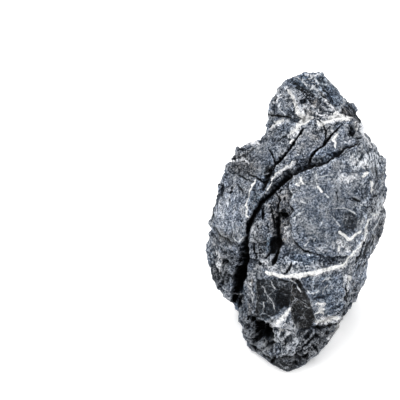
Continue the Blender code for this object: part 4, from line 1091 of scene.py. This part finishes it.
def rock_colour(noises, held, contrast, shard_tone, flake_tone):
    """Blue-grey rock: the noises added up and read off a ramp, then warmed, cooled and lightened."""
    lightness, warmth, _ = held.tone
    level = (0.5 + 0.7 * (noises.mottle - 0.5) + 0.7 * contrast * (noises.blotch - 0.5)
             + 1.7 * contrast * (noises.speckle - 0.5) + (0.75 + 1.9 * contrast) * (noises.grit - 0.5)
             + 0.22 * contrast * (shard_tone - 0.5) + 0.3 * contrast * (flake_tone - 0.5))
    rock = level.node("ShaderNodeValToRGB", {"stops": ROCK_STOPS}, {0: level})
    warm = (warmth * noises.blotch.rise(0.35, 0.6)).most(0.0)
    rock = warm.mix(rock, rock.tinted(WARM_TINT))
    cold = (warmth * -1).most(0.0)
    rock = cold.mix(rock, rock.tinted(COLD_TINT))
    rock = rock.tinted(noises.mottle.rise(0.36, 0.64).mix(BLUISH_TINT, BROWNISH_TINT))
    # The lightness includes the patches' painted shade and light.
    return rock.times(lightness * (1 + 3.0 * noises.flank * noises.streaks))


def with_hairlines(stone, place, noises):
    """Pale hairlines on the borders of cells of two sizes, and scratches where a noise passes 0.5."""
    web = webbed(shifted(place, 5.0, 5.0), 9.0).rise(0.0, 0.035, 1.0, 0.0) * noises.mottle.rise(0.38, 0.55)
    fine_web = webbed(shifted(place, 2.5, 2.5), 4.2).rise(0.0, 0.05, 1.0, 0.0)
    fine_web = fine_web * noises.blotch.rise(0.46, 0.6)
    stone = (0.7 * web.most(0.8 * fine_web)).mix(stone, HAIRLINE)
    scratch = abs(noisy(shifted(place, 7.0, 6.0), 6.5, 2.0, 0.6) - 0.5).rise(0.0, 0.012, 1.0, 0.0)
    broken = (noises.speckle * 0.5 + noises.grit * 0.5).rise(0.42, 0.52)
    return (0.6 * scratch * broken * noises.mottle.rise(0.42, 0.5)).mix(stone, SCRATCH_AND_RIM_HIGHLIGHT)


def with_whites(stone, place, noises, held):
    """A bleached haze, streaked on the flank; then the smears, the threads, and veins off the front."""
    speckle, blotch, grit = noises.speckle, noises.blotch, noises.grit
    _, _, bleaching = held.tone
    dip, _, _ = held.relief
    spots = speckle * (1 - noises.flank) + (1.3 * noises.streaks + 0.5) * noises.flank
    haze = (spots * 0.5 + grit * 0.25 + blotch * 0.3 + bleaching * 0.3 - 0.1 * dip).rise(0.645, 0.72)
    stone = (haze * bleaching.rise(0.05, 0.7)).mix(stone, HAZE)
    smear = drawn_line(held.smears, 1.6 * noises.wobble, 0.3 + 0.8 * noises.swelling, 0.9)
    smear = smear * (0.35 * speckle + 0.2 * blotch + 0.45 * grit).rise(0.42, 0.53)
    stone = smear.mix(stone, SMEAR)
    thread = drawn_line(held.threads, 0.5 * noises.wobble, noises.swelling, 0.22)
    thread = thread * (0.5 * grit + 0.5 * speckle).rise(0.36, 0.5)
    stone = (0.85 * thread).mix(stone, THREAD)
    back_web = webbed(shifted(place, 14.0, 9.0), 44.0).rise(0.004, 0.02, 1.0, 0.0)
    off_front = 1 - held.veins[2].rise(0.0, 0.4)
    return (0.8 * back_web * noises.break_up.rise(0.4, 0.5) * off_front).mix(stone, BACK_VEIN)


def painted_shade_and_highlight(noises, held, crack_shade):
    """Painted shade and highlight: dark in cracks, rifts, pits, hollows and speckles over crags, over 1 on
    crests.
    """
    dip, wide_dip, openness = held.relief
    _, craggy_share, sunk_share = held.form
    shade = sunk_share.rise(0.05, 1.5, 1.0, 0.06) * (1 - 0.95 * crack_shade)
    unpitted = 1 - (noises.blotch * 0.5 + noises.speckle * 0.5).rise(0.36, 0.44)
    shade = shade * (1 - craggy_share.rise(0.3, 1.0) * 0.5 * unpitted) * openness.rise(0.1, 0.8, 1.0, 0.15)
    return shade * (1.4 * dip + 0.45 * wide_dip).rise(-0.75, 0.95, 1.5, 0.22)


def with_painted_edge_shadows(stone, noises, held):
    """Crisp edges: painted shadow on the line's right, fading over its width, and a pale painted highlight on
    its left.
    """
    distance, width, _ = held.edges
    beyond = 0.35 * noises.wobble - distance
    drawn = width.rise(0.2, 1.5)
    fading = (beyond / width.most(0.5)).rise(0.1, 1.0, 1.0, 0.0) * drawn
    stone = stone.times(1 - 0.72 * beyond.rise(-0.2, 0.25) * fading)
    # The pale rim is a painted highlight on the edge's lit lip.
    rim = beyond.rise(-1.1, -0.45) * beyond.rise(-0.25, 0.05, 1.0, 0.0) * drawn
    return (0.5 * rim * noises.break_up.rise(0.4, 0.6)).mix(stone, SCRATCH_AND_RIM_HIGHLIGHT)


def stone_finish():
    """Limestone: mottled rock, hairlines, smears, painted shade and highlight, chalky veins, painted edge
    shadows.
    """
    material = bpy.data.materials.new("stone_finish")
    material.use_nodes = True
    tree = material.node_tree
    shader = tree.nodes["Principled BSDF"]
    place, noises, held = stone_patterns(Wire(tree))
    speckle, grit = noises.speckle, noises.grit
    coarseness, craggy_share, _ = held.form
    contrast = 0.2 + 0.3 * coarseness + 1.1 * craggy_share
    shard_tone, shard_height = shards(shifted(place, 2.5, 1.6), 3.4)
    flake_tone, flake_height = shards(shifted(place, 1.2, 0.8), 1.35)

    stone = rock_colour(noises, held, contrast, shard_tone, flake_tone)
    stone = with_hairlines(stone, place, noises)
    stone = with_whites(stone, place, noises, held)
    # Painted shade: a dark line along the bottom of the cracks, and along the other thin dark lines.
    crack_shade = drawn_line(held.cuts, 0.8 * noises.wobble, 0.7 + 0.6 * noises.swelling, 0.3)
    shade = painted_shade_and_highlight(noises, held, crack_shade)
    # Painted shade: darker and bluer in cracks and hollows, and lighter on crests as painted highlight.
    stone = stone.tinted(shade.rise(0.15, 0.95).mix(SHADOW_TINT, DAYLIGHT_TINT)).times(shade)

    ragged = 0.6 * noises.wobble + 1.1 * (speckle - 0.5)
    vein = drawn_line(held.veins, ragged, 0.7 + 0.4 * noises.swelling, 0.2)
    vein = vein * (grit * 0.6 + speckle * 0.4).rise(0.3, 0.4)
    chalk = grit.rise(0.36, 0.54).mix(DULL_CHALK, CHALK)
    # The chalk takes the painted shade at half strength, and the cracks' painted dark line.
    stone = vein.mix(stone, chalk.times((1 - 0.9 * crack_shade) * (0.55 + 0.45 * shade)))
    stone = with_painted_edge_shadows(stone, noises, held)

    bump = place.node("ShaderNodeBump", {}, {
        "Strength": 1.0, "Distance": MM,
        "Height": (0.3 + craggy_share) * (0.9 * shard_height + 0.9 * flake_height)
        + 0.9 * contrast * (speckle - 0.5) + 0.15 * vein})
    roughness_wire = 0.62 + 0.25 * speckle - 0.15 * vein
    for name, wire in (("Base Color", stone), ("Roughness", roughness_wire), ("Normal", bump)):
        tree.links.new(wire.socket, shader.inputs[name])
    shader.inputs["Specular IOR Level"].default_value = 0.15
    return material


def add_vectors(mesh, name, vectors):
    layer = mesh.attributes.new(name, "FLOAT_VECTOR", "POINT")
    layer.data.foreach_set("vector", np.ascontiguousarray(vectors, np.float32).ravel())


def make_stone():
    """The stone as one mesh with its vertex vectors; gives how far off the origin it was drawn."""
    directions, quads = sphere(GRID)
    surface = stone_surface(directions, quads)
    facing = surface.facing
    mesh = bpy.data.meshes.new("seiryu_stone")
    mesh.from_pydata((surface.points * MM).tolist(), [], quads.tolist())
    # The cuts: a painted dark line in the cracks, and the other thin dark lines.
    cuts = {name: [(across, up, 0.25 + 0.06 * deep) for across, up, _, _, deep in line]
            for name, line in CRACKS.items()}
    cuts.update({"dark_line_" + name: line for name, line in DARK_LINES.items()})
    calm = surface.grain * (0.5 + 0.5 * facing)
    dip, wide_dip = (hollow(surface.points, quads, rounds) for rounds in (3, 24))
    for name, vectors in (
        ("cuts", traced(surface.close, cuts, facing)),
        # Painted shadows and highlights along the crisp edges
        ("edges", traced(surface.close, EDGE_SHADOWS_AND_HIGHLIGHTS, facing)),
        ("veins", traced(surface.drawn, VEINS, facing)),
        ("threads", traced(surface.drawn, THREADS, facing)),
        ("smears", traced(surface.drawn, SMEARS, facing, 3.0)),
        ("tone", toned(surface.drawn, facing, surface.strength)),
        # The depth in form and the relief drive the painted shade and highlight.
        ("form", np.stack([calm, surface.strength * calm, surface.depth / 6], 1)),
        ("relief", np.stack([dip, wide_dip, surface.openness], 1)),
    ):
        add_vectors(mesh, name, vectors)
    mesh.shade_smooth()
    mesh.materials.append(stone_finish())
    stone = bpy.data.objects.new("seiryu_stone", mesh)
    bpy.context.scene.collection.objects.link(stone)
    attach(stone, "root")
    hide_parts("stone")
    return surface.off_centre


def make_floor():
    """A plain pale floor, far wider than the view."""
    half = 3.0
    mesh = bpy.data.meshes.new("floor")
    corners = [(-half, -half, 0), (half, -half, 0), (half, half, 0), (-half, half, 0)]
    mesh.from_pydata(corners, [], [(0, 1, 2, 3)])
    paint = bpy.data.materials.new("floor_paint")
    paint.use_nodes = True
    shader = paint.node_tree.nodes["Principled BSDF"]
    for name, value in (
        ("Base Color", FLOOR), ("Roughness", 0.9), ("Emission Color", WHITE), ("Emission Strength", 0.32),
    ):
        shader.inputs[name].default_value = value
    mesh.materials.append(paint)
    floor = bpy.data.objects.new("floor", mesh)
    bpy.context.scene.collection.objects.link(floor)


def make_light():
    """An even white sky and a broad soft lamp overhead, a little to the left and in front."""
    stone_middle = Vector((0, 0, 0.09))
    world = bpy.data.worlds.new("studio")
    world.use_nodes = True
    world.node_tree.nodes["Background"].inputs["Color"].default_value = WHITE
    world.node_tree.nodes["Background"].inputs["Strength"].default_value = 0.7
    bpy.context.scene.world = world
    lamp = bpy.data.lights.new("softbox", "AREA")
    lamp.size = 2.0
    lamp.energy = 47.5
    holder = bpy.data.objects.new("softbox", lamp)
    bpy.context.scene.collection.objects.link(holder)
    holder.location = (-0.2, -0.25, 1.75)
    holder.rotation_euler = (stone_middle - holder.location).to_track_quat("-Z", "Y").to_euler()


def make_camera(off_centre):
    """The photograph's view: level across, 35 degrees down on to the stone's leaning front.

    The stone was moved by off_centre from where it is drawn, so the point that the camera looks at is
    moved too. Numbers of pixels are worked out as millimetres in the front's plane.
    """
    pixel = 0.672
    frame_width, stone_across, stone_foot = 400, 299, 373
    foot_up, aim_out = -31, 75
    distance = 3000.0
    across = (frame_width / 2 - stone_across) * pixel
    up = (stone_foot - frame_width / 2) * pixel + foot_up
    middle = to_frame([(across, up, aim_out)])[0] - off_centre
    back = to_frame([(0, 0, 1)])[0]
    lens = bpy.data.cameras.new("camera")
    lens.sensor_width = 36
    lens.lens = lens.sensor_width * distance / (frame_width * pixel)
    lens.clip_end = 100
    camera = bpy.data.objects.new("camera", lens)
    bpy.context.scene.collection.objects.link(camera)
    camera.location = (middle + back * distance) * MM
    camera.rotation_euler = Vector(-back).to_track_quat("-Z", "Y").to_euler()
    bpy.context.scene.camera = camera
    bpy.context.scene.view_settings.view_transform = "Standard"


off_centre = make_stone()
make_floor()
make_light()
make_camera(off_centre)
